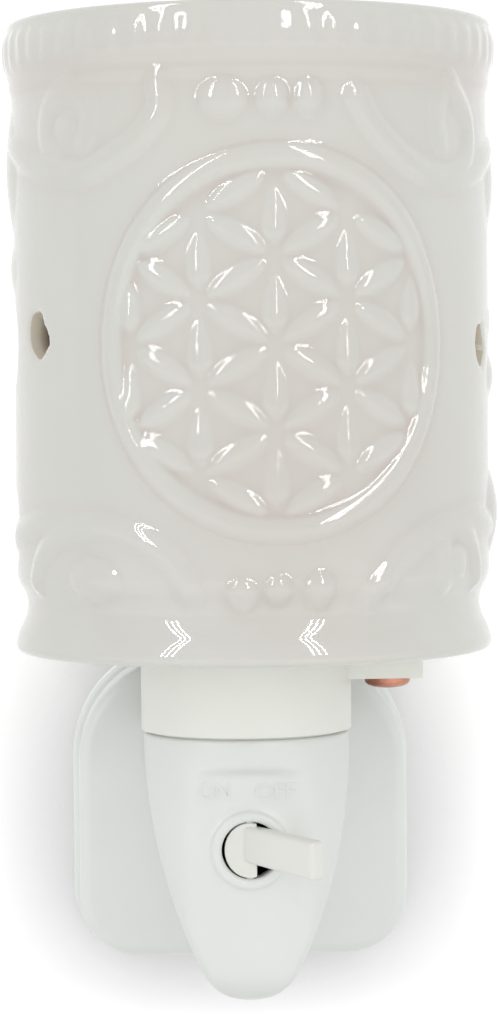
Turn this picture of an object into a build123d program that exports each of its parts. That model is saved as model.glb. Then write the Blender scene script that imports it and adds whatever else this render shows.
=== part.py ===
from build123d import *
import os
from math import cos, degrees, floor, pi, radians, sin, sqrt, tan

# Plug-in wax melt warmer: a glazed ceramic shade with a lift-out dish stands on a three-pin plug body
# with a toggle switch. Millimetres, +Z up. The wall face of the plug body is the plane Y = 0, the front
# looks towards -Y, and the plug body is centred on X = 0, Z = 0.

# Placement
WALL_TO_AXIS = 44.0  # wall face to the upright axis of neck, lamp and shade
SHADE_TURN = 3.5  # degrees that shade and collar sit turned on the plug
SHADE_SHIFT = 1.4  # shade to the right of the upright axis, in the play of its floor hole
SEAT_CLEARANCE = 0.3  # radial play of a piece that drops into or over another
FIT_CLEARANCE = 0.02  # radial play of a pressed or screwed fit
BITE = 0.5  # how far a boss, rib or relief runs into the wall that carries it

# Plug body
PLATE_WIDTH = 55.6
PLATE_HEIGHT = 51.0
PLATE_DEPTH = 20.0  # wall face to the front of the plate
PLATE_TOP_CORNER = 18.0
PLATE_BOTTOM_CORNER = 10.0
PLATE_WALL = 2.5
PLATE_RIM = 2.0  # rounding of the front edge
COVER_DEPTH = 6.0  # wall face to the parting line
COVER_WALL = 2.8
COVER_OVERHANG = 1.2  # the rear cover stands out past the front plate
COVER_RIM = 0.8  # rounding of the rear cover's edges
SCREW_X = 18.0
SCREW_TOP_Z = 16.0
SCREW_BOTTOM_Z = -19.0
SCREW_R = 1.5
SCREW_HEAD_R = 2.8
SCREW_HEAD_H = 1.8
SCREW_SINK = 0.6  # head below the wall face
SCREW_LENGTH = 12.0
BOSS_WALL = 2.0
CROSS_LENGTH = 3.9  # cross slot in a screw's head
CROSS_WIDTH = 0.9

# Plug pins, on the pattern of a 13 A three-pin plug
PIN_PITCH = 22.2  # between the line pins, and from their line to the earth pin
LINE_PIN_WIDTH = 6.35
LINE_PIN_THICK = 3.97
LINE_PIN_LENGTH = 17.7
EARTH_PIN_WIDTH = 3.97
EARTH_PIN_HEIGHT = 7.92
EARTH_PIN_LENGTH = 22.7
PIN_FLANGE = 1.0
PIN_FLANGE_H = 2.0
PIN_TAIL = 3.4
PIN_NOSE = 0.9  # chamfer of the pin's end
SLEEVE_LENGTH = 9.5
SLEEVE_WALL = 0.5

# Fuse
FUSE_LENGTH = 25.4
FUSE_R = 3.17
FUSE_CAP_LENGTH = 6.0
FUSE_CAP_WALL = 0.4
FUSE_DEPTH = 10.6  # wall face to the fuse's axis
FUSE_Z = -0.6
CLIP_WIDTH = 4.0
CLIP_WALL = 0.6
STRAP_WIDTH = 2.4

# Switch housing
NECK_R = 16.7
HOUSING_TOP = 15.6
HOUSING_DROP = 27.2  # tip below the middle of the plate
HOUSING_WALL = 2.2
SHIELD_MID_HALF = 14.8
SHIELD_MID_Z = -2.0
SHIELD_LOW_HALF = 7.8
SHIELD_LOW_RISE = 5.5  # where the side meets the rounded tip, above the tip
CHIN_R = 6.0  # rounding of the panel into the underside
PANEL_FORWARD = 13.8  # upright axis to the flat switch panel
LEDGE_Z = 10.0  # top of the flat panel
LEDGE_SLOPE = 1.0  # height over which the round neck slopes back to the panel
WINDOW_WIDTH = 15.0
WINDOW_HEIGHT = 10.0
WINDOW_Z = -10.8
HOUSING_SCREW_R = 1.3
HOUSING_SCREW_HEAD_R = 2.5
HOUSING_SCREW_HEAD_H = 1.6
HOUSING_SCREW_LENGTH = 9.0
HOUSING_BOSS_R = 2.7
HOUSING_BOSS_LENGTH = 9.0
HOUSING_BOSS_Z = 8.0
LOWER_BOSS_Z = -19.3
LOWER_RIB = 2.4

# Toggle switch
SWITCH_Z = -2.1
RING_R = 6.25
RING_HOLE_R = 4.7
RING_RISE = 1.3
RING_BEVEL = 0.7
PIVOT_INSET = 1.5  # pivot behind the face of the ring
BALL_R = 4.2
TOGGLE_LENGTH = 15.4
TOGGLE_ROOT_HEIGHT = 5.2
TOGGLE_END_HEIGHT = 6.2
TOGGLE_THICK = 3.0
TOGGLE_EDGE = 0.9
TOGGLE_THROW = 84.0  # degrees from OFF at the right to ON at the left
PIVOT_PIN_R = 0.8
PIVOT_PIN_PLAY = 0.05
PIVOT_PIN_BITE = 1.1
ARM_ROOT = 2.6  # pivot to the root of the moving contact, inside the ball
ARM_REACH = 8.5
ARM_THICK = 0.8
ARM_HEIGHT = 4.4
CONTACT_R = 0.8
CONTACT_REACH = 6.0  # end of a fixed contact, behind the pivot
CONTACT_SPREAD = 1.4
CONTACT_GAP = 0.45

# Collar and ear
COLLAR_R = 17.05
COLLAR_WALL = 2.6
COLLAR_HEIGHT = 13.3
COLLAR_WEB = 2.4
COLLAR_SEAM = 0.4
COLLAR_SEAM_INSET = 1.4
EAR_REACH = 28.3
EAR_WIDTH = 11.0
EAR_THICK = 4.9
EAR_EDGE = 0.6
EAR_SCREW_OUT = 22.8
EAR_SCREW_R = 2.0
EAR_SCREW_HEAD_R = 3.75
EAR_SCREW_HEAD_H = 1.9
EAR_NUT_R = 4.0
EAR_NUT_H = 3.2
EAR_WASHER_R = 4.6
EAR_WASHER_H = 0.8
EAR_SCREW_PROUD = 1.2  # thread past the nut

# Lampholder
BARREL_R = 12.2
BARREL_FLANGE_R = 13.6
BARREL_FLANGE_H = 2.4
BARREL_ABOVE_FLOOR = 12.0
SOCKET_DEPTH = 21.0
SHELL_R = 7.55
SHELL_WALL = 0.5
SHELL_SINK = 0.5  # shell below the barrel's mouth
TERMINAL_R = 0.9
TERMINAL_DROP = 2.4  # terminals below the housing's top wall
TERMINAL_HOLE_R = 2.0
HOLDER_SCREW_OUT = 7.6  # upright axis to each of the two screws that hold the lampholder
HOLDER_SCREW_LENGTH = 7.2
HOLDER_CONTACT_R = 2.6
HOLDER_CONTACT_H = 1.2
SHADE_RING_R = 16.6
SHADE_RING_H = 4.5
SHADE_RING_NOTCHES = 20
SHADE_RING_NOTCH_R = 0.7

# Lamp
CAP_R = 6.75
CAP_WALL = 0.8
CAP_LENGTH = 16.0
CAP_THREADS = 5
CAP_THREAD_R = 0.4
TIP_R = 2.3
TIP_H = 1.0
INSULATOR_H = 2.4
GLASS_R = 14.0
GLASS_HEIGHT = 42.0  # glass above the cap
GLASS_WALL = 0.8
GLASS_NECK_BITE = 4.0  # neck inside the cap
GLASS_NECK_PLAY = 0.1
STEM_R = 2.2
STEM_HEIGHT = 13.0
FILAMENT_R = 0.35
FILAMENT_HALF = 5.0
FILAMENT_RISE = 9.0

# Ceramic shade
SHADE_R = 38.2
SHADE_HEIGHT = 100.6
SHADE_WALL = 4.0
FLOOR_THICK = 5.0
FOOT_OUT = 0.2  # foot past the body
FOOT_EDGE = 1.3
FOOT_BAND = 1.0
WAIST_IN = 1.5  # waist inside the body
WAIST_Z = 7.3  # above the shade's bottom
BODY_Z = 12.8  # where the straight body starts, above the shade's bottom
RIM_OUT = 1.15  # rim band under the lobes, past the body
RIM_BULGE_DROP = 4.4  # middle of the rim band, below the top
COVE_DROP = 9.8  # where the body meets the cove, below the top
LIP_OUT = 0.7  # lip past the body
LIP_EDGE = 1.0
LOBE_PITCH = 4.4
LOBE_R = 3.6
LOBE_RISE = 0.6
LOBE_DROP = 4.4  # middle of the lobes, below the top
DISH_SINK = 2.5  # dish below the lip

# Relief of the shade
MEDALLION_Z = 49.0  # above the shade's bottom
MEDALLION_R = 29.2
MEDALLION_BAND = 3.0
BAND_RISE = 1.0  # medallion ring and scrolls over the wall
PETAL_PITCH = 13.2
PETAL_LENGTH = 9.4
PETAL_WIDTH = 4.5
PETAL_RISE = 0.9
PETAL_SLOPE = 35.0
PETAL_RINGS = 2  # rings of nodes round the middle one
BEAD_R = 2.7
BEAD_RISE = 1.3
BEAD_STEP = 9.0  # degrees between beads
BEAD_TOP_Z = 86.0
BEAD_BOTTOM_Z = 11.6
SCROLL_ANGLE = 42.0
SCROLL_R = 11.5
SCROLL_BAND = 2.8
SCROLL_TOP_Z = 86.0
SCROLL_BOTTOM_Z = 12.8
KNOB_R = 5.0
KNOB_RISE = 1.0
VENT_ANGLE = 67.0
VENT_Z = 49.3
VENT_R = 2.65
VENT_POINT = 4.6  # round middle of the vent to its lower point

# Dish
DISH_FLANGE_H = 3.0
DISH_WALL = 3.0
BOWL_GAP = 1.2  # bowl to the shade's bore
BOWL_DEPTH = 16.0  # below the flange
BOWL_FLOOR_R = 15.0
BOWL_SWELL = 3.5
DISH_EDGE = 0.8

# Wires, with the places where they bend as (across, from the wall, up)
WIRE_R = 0.85
WIRE_BEND = 0.45  # part of the shorter run that a bend may take up
LIVE_STUB = 7.0  # straight run behind a switch contact
SWITCHED_STUB = 5.5
TERMINAL_STUB = 7.0  # straight run under a lampholder terminal
CLIP_STUB = 3.6  # straight run under a fuse clip
PIN_STUB = 3.6  # straight run in front of the neutral pin
LIVE_BENDS = [(3.5, 33.0, -4.8), (-1.0, 24.0, -8.2), (-5.0, 15.5, -8.6)]
SWITCHED_BENDS = [(3.4, 41.5, -3.0)]
NEUTRAL_BENDS = [(-5.6, 16.6, -12.4), (-5.0, 28.0, -11.6), (-SHELL_R, 42.0, -4.0)]

# Levels and depths that follow from the sizes above
SHADE_BOTTOM = HOUSING_TOP + COLLAR_HEIGHT
SHADE_TOP = SHADE_BOTTOM + SHADE_HEIGHT
FLOOR_TOP = SHADE_BOTTOM + FLOOR_THICK
BORE_R = SHADE_R - SHADE_WALL
FOOT_R = SHADE_R + FOOT_OUT
WAIST_R = SHADE_R - WAIST_IN
RIM_R = SHADE_R + RIM_OUT
LIP_R = SHADE_R + LIP_OUT
DISH_LEDGE = SHADE_TOP - DISH_SINK - DISH_FLANGE_H
DISH_SEAT_R = (LIP_R + BORE_R) / 2
DISH_R = DISH_SEAT_R - SEAT_CLEARANCE
FLOOR_HOLE_R = BARREL_R + SHADE_SHIFT + SEAT_CLEARANCE
BARREL_BOTTOM = HOUSING_TOP
BARREL_TOP = FLOOR_TOP + BARREL_ABOVE_FLOOR
SOCKET_FLOOR = BARREL_TOP - SOCKET_DEPTH
TOP_WALL_BOTTOM = HOUSING_TOP - HOUSING_WALL
TERMINAL_BOTTOM = TOP_WALL_BOTTOM - TERMINAL_DROP
WEB_BOTTOM = HOUSING_TOP + BARREL_FLANGE_H
TIP_BOTTOM = SOCKET_FLOOR + HOLDER_CONTACT_H
CAP_BOTTOM = TIP_BOTTOM + TIP_H + INSULATOR_H
CAP_TOP = CAP_BOTTOM + CAP_LENGTH
CAP_BORE_R = CAP_R - CAP_WALL
GLASS_NECK_R = CAP_BORE_R - GLASS_NECK_PLAY
STEM_TOP = CAP_TOP + STEM_HEIGHT
SHELL_TERMINAL_OUT = SHELL_R - SHELL_WALL / 2
LINE_PIN_Z = -PIN_PITCH / 2
EARTH_PIN_Z = LINE_PIN_Z + PIN_PITCH
TAIL_END = COVER_WALL + PIN_FLANGE_H + PIN_TAIL
PANEL_DEPTH = WALL_TO_AXIS + PANEL_FORWARD
RING_DEPTH = PANEL_DEPTH + RING_RISE
PIVOT_DEPTH = RING_DEPTH - PIVOT_INSET
CONTACT_DEPTH = PIVOT_DEPTH - CONTACT_REACH
EAR_BOTTOM = SHADE_BOTTOM - EAR_THICK
NUT_BOTTOM = FLOOR_TOP + EAR_WASHER_H
HALF_THROW = TOGGLE_THROW / 2
ARM_CORNER = ARM_THICK / 2
CONTACT_STOP = (CONTACT_REACH + ARM_CORNER * sin(radians(HALF_THROW))) / cos(radians(HALF_THROW))
CONTACT_FACE_X = CONTACT_STOP * sin(radians(HALF_THROW)) + ARM_CORNER * cos(radians(HALF_THROW))
CONTACT_X = CONTACT_FACE_X + CONTACT_GAP + CONTACT_R


def facing(depth):
    """Plane square to the view, that far from the wall, with its normal to the front."""
    return Plane.XZ.offset(depth)


def on_axis(shape):
    """Moves a shape made round the Z axis to the upright axis of the warmer."""
    return Pos(0, -WALL_TO_AXIS, 0) * shape


def turned(shape):
    """Moves a shape made round the Z axis to the upright axis, turned with the shade."""
    return on_axis(Rot(0, 0, SHADE_TURN) * shape)


def on_shade(shape):
    """Moves a shape made round the Z axis to where the shade sits."""
    return Pos(SHADE_SHIFT, 0, 0) * turned(shape)


def tube(r_out, r_in, z_low, z_high):
    """Upright tube on the Z axis, or a rod where r_in is nothing."""
    section = Circle(r_out)
    if r_in:
        section -= Circle(r_in)
    return Pos(0, 0, z_low) * extrude(section, z_high - z_low)


def bar(section, depth_low, depth_high):
    """Bar along Y between two distances from the wall."""
    return extrude(facing(depth_low) * section, depth_high - depth_low)


def turning(edges):
    """Solid of revolution round the Z axis of an outline in the XZ plane."""
    return revolve(make_face(edges), Axis.Z)


def run(points):
    """Straight runs through points (radius, height) of the XZ plane."""
    return Polyline(*[(r, 0, z) for r, z in points])


def arc(start, middle, end):
    """Arc through three points (radius, height) of the XZ plane."""
    return ThreePointArc(*[(r, 0, z) for r, z in (start, middle, end)])


def sagging(start, end, sag):
    """Arc between two points (radius, height) that leaves its chord by sag, to the left of the way."""
    dr, dz = end[0] - start[0], end[1] - start[1]
    length = sqrt(dr * dr + dz * dz)
    middle = ((start[0] + end[0]) / 2 - dz / length * sag, (start[1] + end[1]) / 2 + dr / length * sag)
    return arc(start, middle, end)


def wire_tube(points, radius):
    """Round tube along straight runs joined by arcs as large as the runs allow."""
    spots = [Vector(*p) for p in points]
    radii = []
    for before, corner, after in zip(spots, spots[1:], spots[2:]):
        turn = radians((corner - before).get_angle(after - corner))
        shorter = min((corner - before).length, (after - corner).length)
        radii.append(WIRE_BEND * shorter / tan(turn / 2))
    path = FilletPolyline(*spots, radius=radii)
    start = Plane(origin=spots[0], z_dir=spots[1] - spots[0])
    return sweep(start * Circle(radius), path=path)


# Plug body

def plate_outline(grow=0.0):
    """Outline of the plug body, grown all round."""
    outline = Rectangle(PLATE_WIDTH + 2 * grow, PLATE_HEIGHT + 2 * grow)
    outline = fillet(outline.vertices().group_by(Axis.Y)[-1], PLATE_TOP_CORNER + grow)
    return fillet(outline.vertices().group_by(Axis.Y)[0], PLATE_BOTTOM_CORNER + grow)


COVER_SCREW_SPOTS = [(x, z) for z in (SCREW_TOP_Z, SCREW_BOTTOM_Z) for x in (-SCREW_X, SCREW_X)]
UPPER_BOSS_X = NECK_R - HOUSING_WALL - HOUSING_BOSS_R + BITE
HOUSING_SCREW_SPOTS = [(-UPPER_BOSS_X, HOUSING_BOSS_Z), (UPPER_BOSS_X, HOUSING_BOSS_Z), (0, LOWER_BOSS_Z)]
SCREW_SEAT = SCREW_SINK + SCREW_HEAD_H  # depth of the seat under a cover screw's head
SCREW_HOLE_R = SCREW_R + FIT_CLEARANCE
FRONT_WALL_DEPTH = PLATE_DEPTH - PLATE_WALL  # inner face of the front plate


def front_plate():
    body = bar(plate_outline(), COVER_DEPTH, PLATE_DEPTH)
    front_edges = body.faces().sort_by(Axis.Y)[0].edges()
    body = fillet(front_edges, PLATE_RIM)
    body -= bar(plate_outline(-PLATE_WALL), COVER_DEPTH, FRONT_WALL_DEPTH)
    for x, z in COVER_SCREW_SPOTS:
        body += bar(Pos(x, z) * Circle(SCREW_R + BOSS_WALL), COVER_DEPTH, FRONT_WALL_DEPTH + BITE)
    for x, z in COVER_SCREW_SPOTS:
        body -= bar(Pos(x, z) * Circle(SCREW_HOLE_R), COVER_DEPTH, SCREW_SEAT + SCREW_LENGTH + BITE)
    for x, z in HOUSING_SCREW_SPOTS:
        body -= bar(Pos(x, z) * Circle(HOUSING_SCREW_R + FIT_CLEARANCE), FRONT_WALL_DEPTH, PLATE_DEPTH)
    window = Pos(0, WINDOW_Z) * Rectangle(WINDOW_WIDTH, WINDOW_HEIGHT)
    return body - bar(window, FRONT_WALL_DEPTH, PLATE_DEPTH)


def rear_cover():
    body = bar(plate_outline(COVER_OVERHANG), 0, COVER_DEPTH)
    body = fillet(body.faces().sort_by(Axis.Y)[0].edges(), COVER_RIM)
    body -= bar(plate_outline(-PLATE_WALL), COVER_WALL, COVER_DEPTH)
    for x, z in COVER_SCREW_SPOTS:
        body += bar(Pos(x, z) * Circle(SCREW_HEAD_R + BOSS_WALL), COVER_WALL - BITE, COVER_DEPTH)
    for x, z in COVER_SCREW_SPOTS:
        body -= bar(Pos(x, z) * Circle(SCREW_HEAD_R + SEAT_CLEARANCE), 0, SCREW_SEAT)
        body -= bar(Pos(x, z) * Circle(SCREW_HOLE_R), SCREW_SEAT, COVER_DEPTH)
    for x in (-PIN_PITCH / 2, PIN_PITCH / 2):
        body -= bar(Pos(x, LINE_PIN_Z) * line_pin_section(FIT_CLEARANCE), 0, COVER_WALL)
    return body - bar(Pos(0, EARTH_PIN_Z) * earth_pin_section(FIT_CLEARANCE), 0, COVER_WALL)


def cross_slot():
    return Rectangle(CROSS_LENGTH, CROSS_WIDTH) + Rectangle(CROSS_WIDTH, CROSS_LENGTH)


def cover_screws():
    screws = []
    for x, z in COVER_SCREW_SPOTS:
        head = bar(Pos(x, z) * Circle(SCREW_HEAD_R), SCREW_SINK, SCREW_SEAT)
        head -= bar(Pos(x, z) * cross_slot(), SCREW_SINK, SCREW_SINK + SCREW_HEAD_H / 2)
        screws.append(head + bar(Pos(x, z) * Circle(SCREW_R), SCREW_SEAT, SCREW_SEAT + SCREW_LENGTH))
    return screws


def housing_screws():
    screws = []
    for x, z in HOUSING_SCREW_SPOTS:
        under_wall = FRONT_WALL_DEPTH - HOUSING_SCREW_HEAD_H
        head = bar(Pos(x, z) * Circle(HOUSING_SCREW_HEAD_R), under_wall, FRONT_WALL_DEPTH)
        head -= bar(Pos(x, z) * cross_slot(), under_wall, under_wall + HOUSING_SCREW_HEAD_H / 2)
        shank = Pos(x, z) * Circle(HOUSING_SCREW_R)
        screws.append(head + bar(shank, FRONT_WALL_DEPTH, FRONT_WALL_DEPTH + HOUSING_SCREW_LENGTH))
    return screws


# Plug pins

def line_pin_section(grow=0.0):
    return Rectangle(LINE_PIN_WIDTH + 2 * grow, LINE_PIN_THICK + 2 * grow)


def earth_pin_section(grow=0.0):
    return Rectangle(EARTH_PIN_WIDTH + 2 * grow, EARTH_PIN_HEIGHT + 2 * grow)


def plug_pin(x, z, section, length):
    """Pin with a flange on the inside of the rear cover, a tail for its wire and a chamfered nose."""
    spot = Pos(x, z)
    shank = bar(spot * section(), -length, COVER_WALL)
    shank = chamfer(shank.faces().sort_by(Axis.Y)[-1].edges(), PIN_NOSE)
    flange = bar(spot * section(PIN_FLANGE), COVER_WALL, COVER_WALL + PIN_FLANGE_H)
    tail = bar(spot * section(), COVER_WALL + PIN_FLANGE_H, TAIL_END)
    return shank + flange + tail


def sleeve(x):
    """Insulating sleeve let into a line pin, flush with it."""
    ring = line_pin_section() - line_pin_section(-SLEEVE_WALL)
    return bar(Pos(x, LINE_PIN_Z) * ring, -SLEEVE_LENGTH, 0)


def line_pin(x):
    return plug_pin(x, LINE_PIN_Z, line_pin_section, LINE_PIN_LENGTH) - sleeve(x)


def earth_pin():
    return plug_pin(0, EARTH_PIN_Z, earth_pin_section, EARTH_PIN_LENGTH)


# Fuse

FUSE_PLANE = Plane(origin=(0, -FUSE_DEPTH, FUSE_Z), x_dir=(0, 1, 0), z_dir=(1, 0, 0))
FUSE_HALF = FUSE_LENGTH / 2
CAP_MIDDLE = FUSE_HALF - FUSE_CAP_LENGTH / 2


def fuse_bar(section, x_low, x_high):
    """Bar along the fuse's axis."""
    return extrude(FUSE_PLANE.offset(x_low) * section, x_high - x_low)


def fuse_tube():
    inner = FUSE_R - FUSE_CAP_WALL
    middle = fuse_bar(Circle(FUSE_R), FUSE_CAP_LENGTH - FUSE_HALF, FUSE_HALF - FUSE_CAP_LENGTH)
    return middle + fuse_bar(Circle(inner), FUSE_CAP_WALL - FUSE_HALF, FUSE_HALF - FUSE_CAP_WALL)


def fuse_caps():
    bored = FUSE_R - FUSE_CAP_WALL
    caps = []
    for side in (-1, 1):
        ends = sorted((side * FUSE_HALF, side * (FUSE_HALF - FUSE_CAP_LENGTH)))
        hollow = sorted((side * (FUSE_HALF - FUSE_CAP_WALL), side * (FUSE_HALF - FUSE_CAP_LENGTH)))
        caps.append(fuse_bar(Circle(FUSE_R), *ends) - fuse_bar(Circle(bored), *hollow))
    return caps


def fuse_clips():
    """Spring clips round the fuse caps, on posts from the rear cover, one strapped to the live pin."""
    grip = FUSE_R + FIT_CLEARANCE
    clips = []
    for x in (-CAP_MIDDLE, CAP_MIDDLE):
        low, high = x - CLIP_WIDTH / 2, x + CLIP_WIDTH / 2
        jaws = Circle(grip + CLIP_WALL) - Circle(grip)
        mouth = Pos(-grip, 0) * Rectangle(grip, grip)
        clip = fuse_bar(jaws - mouth, low, high)
        post = Pos(x, FUSE_Z) * Rectangle(CLIP_WIDTH, CLIP_WALL * 2)
        clips.append(clip + bar(post, COVER_WALL, FUSE_DEPTH - grip - CLIP_WALL / 2))
    pin_top = LINE_PIN_Z + LINE_PIN_THICK / 2
    strap_top = FUSE_Z - CLIP_WALL / 2
    strap = Pos(CAP_MIDDLE, (pin_top + strap_top) / 2) * Rectangle(STRAP_WIDTH, strap_top - pin_top)
    clips[1] += bar(strap, TAIL_END - PIN_TAIL + BITE, FUSE_DEPTH - grip - CLIP_WALL / 2)
    return clips


# Switch housing

TERMINAL_SPOTS = (0, -SHELL_TERMINAL_OUT)
HOLDER_SCREW_SPOTS = (-HOLDER_SCREW_OUT, HOLDER_SCREW_OUT)
HOLDER_HOLE_R = HOUSING_SCREW_R + FIT_CLEARANCE


def shield_outline(inset):
    """Front outline of the housing, drawn in all round."""
    top = HOUSING_TOP - inset
    half = NECK_R - inset
    mid = SHIELD_MID_HALF - inset
    low = SHIELD_LOW_HALF - inset
    low_z = SHIELD_LOW_RISE - HOUSING_DROP
    return make_face([
        Line((half, top), (-half, top)),
        ThreePointArc((-half, top), (-mid, SHIELD_MID_Z), (-low, low_z)),
        ThreePointArc((-low, low_z), (0, inset - HOUSING_DROP), (low, low_z)),
        ThreePointArc((low, low_z), (mid, SHIELD_MID_Z), (half, top)),
    ])


def side_outline(inset):
    """Side view of the housing, drawn in all round, open at the plate: neck, ledge, panel and chin."""
    top = HOUSING_TOP - inset
    front = WALL_TO_AXIS + NECK_R - inset
    panel = PANEL_DEPTH - inset
    ledge = LEDGE_Z + inset
    bottom = inset - HOUSING_DROP
    chin_depth = PANEL_DEPTH - CHIN_R
    chin_z = CHIN_R - HOUSING_DROP
    slant = (CHIN_R - inset) * sqrt(0.5)
    upper = [(-PLATE_DEPTH, bottom), (-PLATE_DEPTH, top), (-front, top), (-front, ledge + LEDGE_SLOPE)]
    upper += [(-panel, ledge), (-panel, chin_z)]
    return make_face([
        Polyline(*upper),
        ThreePointArc((-panel, chin_z), (-chin_depth - slant, chin_z - slant), (-chin_depth, bottom)),
        Line((-chin_depth, bottom), (-PLATE_DEPTH, bottom)),
    ])


def housing_form(inset=0.0):
    """Solid form of the housing, drawn in all round: its front, plan and side outlines together."""
    half = NECK_R - inset
    back = WALL_TO_AXIS - PLATE_DEPTH
    shield = bar(shield_outline(inset), PLATE_DEPTH, WALL_TO_AXIS + NECK_R)
    plan = Pos(0, -WALL_TO_AXIS) * Circle(half)
    plan += Pos(0, back / 2 - WALL_TO_AXIS) * Rectangle(2 * half, back)
    rounded = extrude(Pos(0, 0, -HOUSING_DROP) * plan, HOUSING_DROP + HOUSING_TOP)
    side = extrude(Plane.YZ * side_outline(inset), NECK_R, both=True)
    return shield & rounded & side


def pivot_rod(grow=0.0):
    """Upright rod at the toggle's pivot."""
    half = RING_HOLE_R + PIVOT_PIN_BITE
    return Pos(0, -PIVOT_DEPTH, 0) * tube(PIVOT_PIN_R + grow, 0, SWITCH_Z - half, SWITCH_Z + half)


def contact_bars(grow=0.0):
    """Fixed contacts: two studs let into the back of the switch panel, one over the other."""
    spots = [(CONTACT_X, SWITCH_Z + side * CONTACT_SPREAD) for side in (1, -1)]
    root = PANEL_DEPTH - HOUSING_WALL / 2
    return [bar(Pos(x, z) * Circle(CONTACT_R + grow), CONTACT_DEPTH, root) for x, z in spots]


def switch_housing():
    form = housing_form()
    body = form - housing_form(HOUSING_WALL)
    bosses = [Pos(x, z) * Circle(HOUSING_BOSS_R) for x, z in HOUSING_SCREW_SPOTS]
    rib_low = HOUSING_WALL / 2 - HOUSING_DROP
    rib = Pos(0, (rib_low + LOWER_BOSS_Z) / 2) * Rectangle(LOWER_RIB, LOWER_BOSS_Z - rib_low)
    for section in bosses + [rib]:
        body += bar(section, PLATE_DEPTH, PLATE_DEPTH + HOUSING_BOSS_LENGTH) & form
    for x, z in HOUSING_SCREW_SPOTS:
        hole = Pos(x, z) * Circle(HOUSING_SCREW_R + FIT_CLEARANCE)
        body -= bar(hole, PLATE_DEPTH, FRONT_WALL_DEPTH + HOUSING_SCREW_LENGTH + BITE)
    ring = bar(Pos(0, SWITCH_Z) * Circle(RING_R), PANEL_DEPTH - BITE, RING_DEPTH)
    body += chamfer(ring.faces().sort_by(Axis.Y)[0].edges(), RING_BEVEL)
    body -= bar(Pos(0, SWITCH_Z) * Circle(RING_HOLE_R), PANEL_DEPTH - HOUSING_WALL, RING_DEPTH)
    body -= pivot_rod(FIT_CLEARANCE)
    for x in TERMINAL_SPOTS:
        body -= on_axis(Pos(x, 0, 0) * tube(TERMINAL_HOLE_R, 0, TOP_WALL_BOTTOM, HOUSING_TOP))
    for y in HOLDER_SCREW_SPOTS:
        body -= on_axis(Pos(0, y, 0) * tube(HOLDER_HOLE_R, 0, TOP_WALL_BOTTOM, HOUSING_TOP))
    for stud in contact_bars(FIT_CLEARANCE):
        body -= stud
    return body


# Toggle switch

def at_pivot(shape):
    """Moves a shape made at the origin, lever to the front, to the pivot, thrown to OFF at the right."""
    return Pos(0, -PIVOT_DEPTH, SWITCH_Z) * Rot(0, 0, HALF_THROW) * shape


def arm_bar(grow=0.0):
    """Moving contact behind the ball."""
    length = ARM_REACH - ARM_ROOT
    size = (ARM_THICK + 2 * grow, length + 2 * grow, ARM_HEIGHT + 2 * grow)
    return Pos(0, ARM_ROOT + length / 2, 0) * Box(*size)


def toggle_lever():
    root, end = TOGGLE_ROOT_HEIGHT / 2, TOGGLE_END_HEIGHT / 2
    tip = -TOGGLE_LENGTH
    flank = make_face(Polyline((0, root), (tip, end), (tip, -end), (0, -root), close=True))
    bat = extrude(Plane.YZ * flank, TOGGLE_THICK / 2, both=True)
    bat = fillet(bat.edges(), TOGGLE_EDGE)
    lever = Sphere(BALL_R) + bat - tube(PIVOT_PIN_R + PIVOT_PIN_PLAY, 0, -BALL_R, BALL_R)
    return at_pivot(lever - arm_bar(FIT_CLEARANCE))


def contact_arm():
    return at_pivot(arm_bar())


# Collar and ear

def neck_collar():
    body = tube(COLLAR_R, COLLAR_R - COLLAR_WALL, HOUSING_TOP + COLLAR_SEAM, SHADE_BOTTOM)
    seat = COLLAR_R - COLLAR_SEAM_INSET
    body += tube(seat, BARREL_FLANGE_R + SEAT_CLEARANCE, HOUSING_TOP, WEB_BOTTOM)
    body += tube(seat, BARREL_R + SEAT_CLEARANCE, WEB_BOTTOM, WEB_BOTTOM + COLLAR_WEB)
    inner = COLLAR_R - COLLAR_WALL / 2
    ear = Box(EAR_REACH - inner, EAR_WIDTH, EAR_THICK)
    ear = fillet(ear.faces().sort_by(Axis.X)[-1].edges().filter_by(Axis.Z), EAR_EDGE)
    body += Pos((EAR_REACH + inner) / 2, 0, SHADE_BOTTOM - EAR_THICK / 2) * ear
    hole = tube(EAR_SCREW_R + SEAT_CLEARANCE, 0, EAR_BOTTOM, SHADE_BOTTOM)
    return turned(body - Pos(EAR_SCREW_OUT, 0, 0) * hole)


def ear_screw():
    """Dome-headed screw up through the ear and the shade's floor."""
    top = NUT_BOTTOM + EAR_NUT_H + EAR_SCREW_PROUD
    low = EAR_BOTTOM - EAR_SCREW_HEAD_H
    dome_r = (EAR_SCREW_HEAD_R**2 + EAR_SCREW_HEAD_H**2) / (2 * EAR_SCREW_HEAD_H)
    head = Pos(0, 0, low + dome_r) * Sphere(dome_r) & tube(EAR_SCREW_HEAD_R, 0, low, EAR_BOTTOM)
    shank = tube(EAR_SCREW_R, 0, EAR_BOTTOM, top)
    return turned(Pos(EAR_SCREW_OUT, 0, 0) * (head + shank))


def ear_nut():
    bore = EAR_SCREW_R + FIT_CLEARANCE
    washer = tube(EAR_WASHER_R, bore, FLOOR_TOP, NUT_BOTTOM)
    section = RegularPolygon(EAR_NUT_R, 6) - Circle(bore)
    nut = Pos(0, 0, NUT_BOTTOM) * extrude(section, EAR_NUT_H)
    return [turned(Pos(EAR_SCREW_OUT, 0, 0) * piece) for piece in (washer, nut)]


# Lampholder

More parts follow.
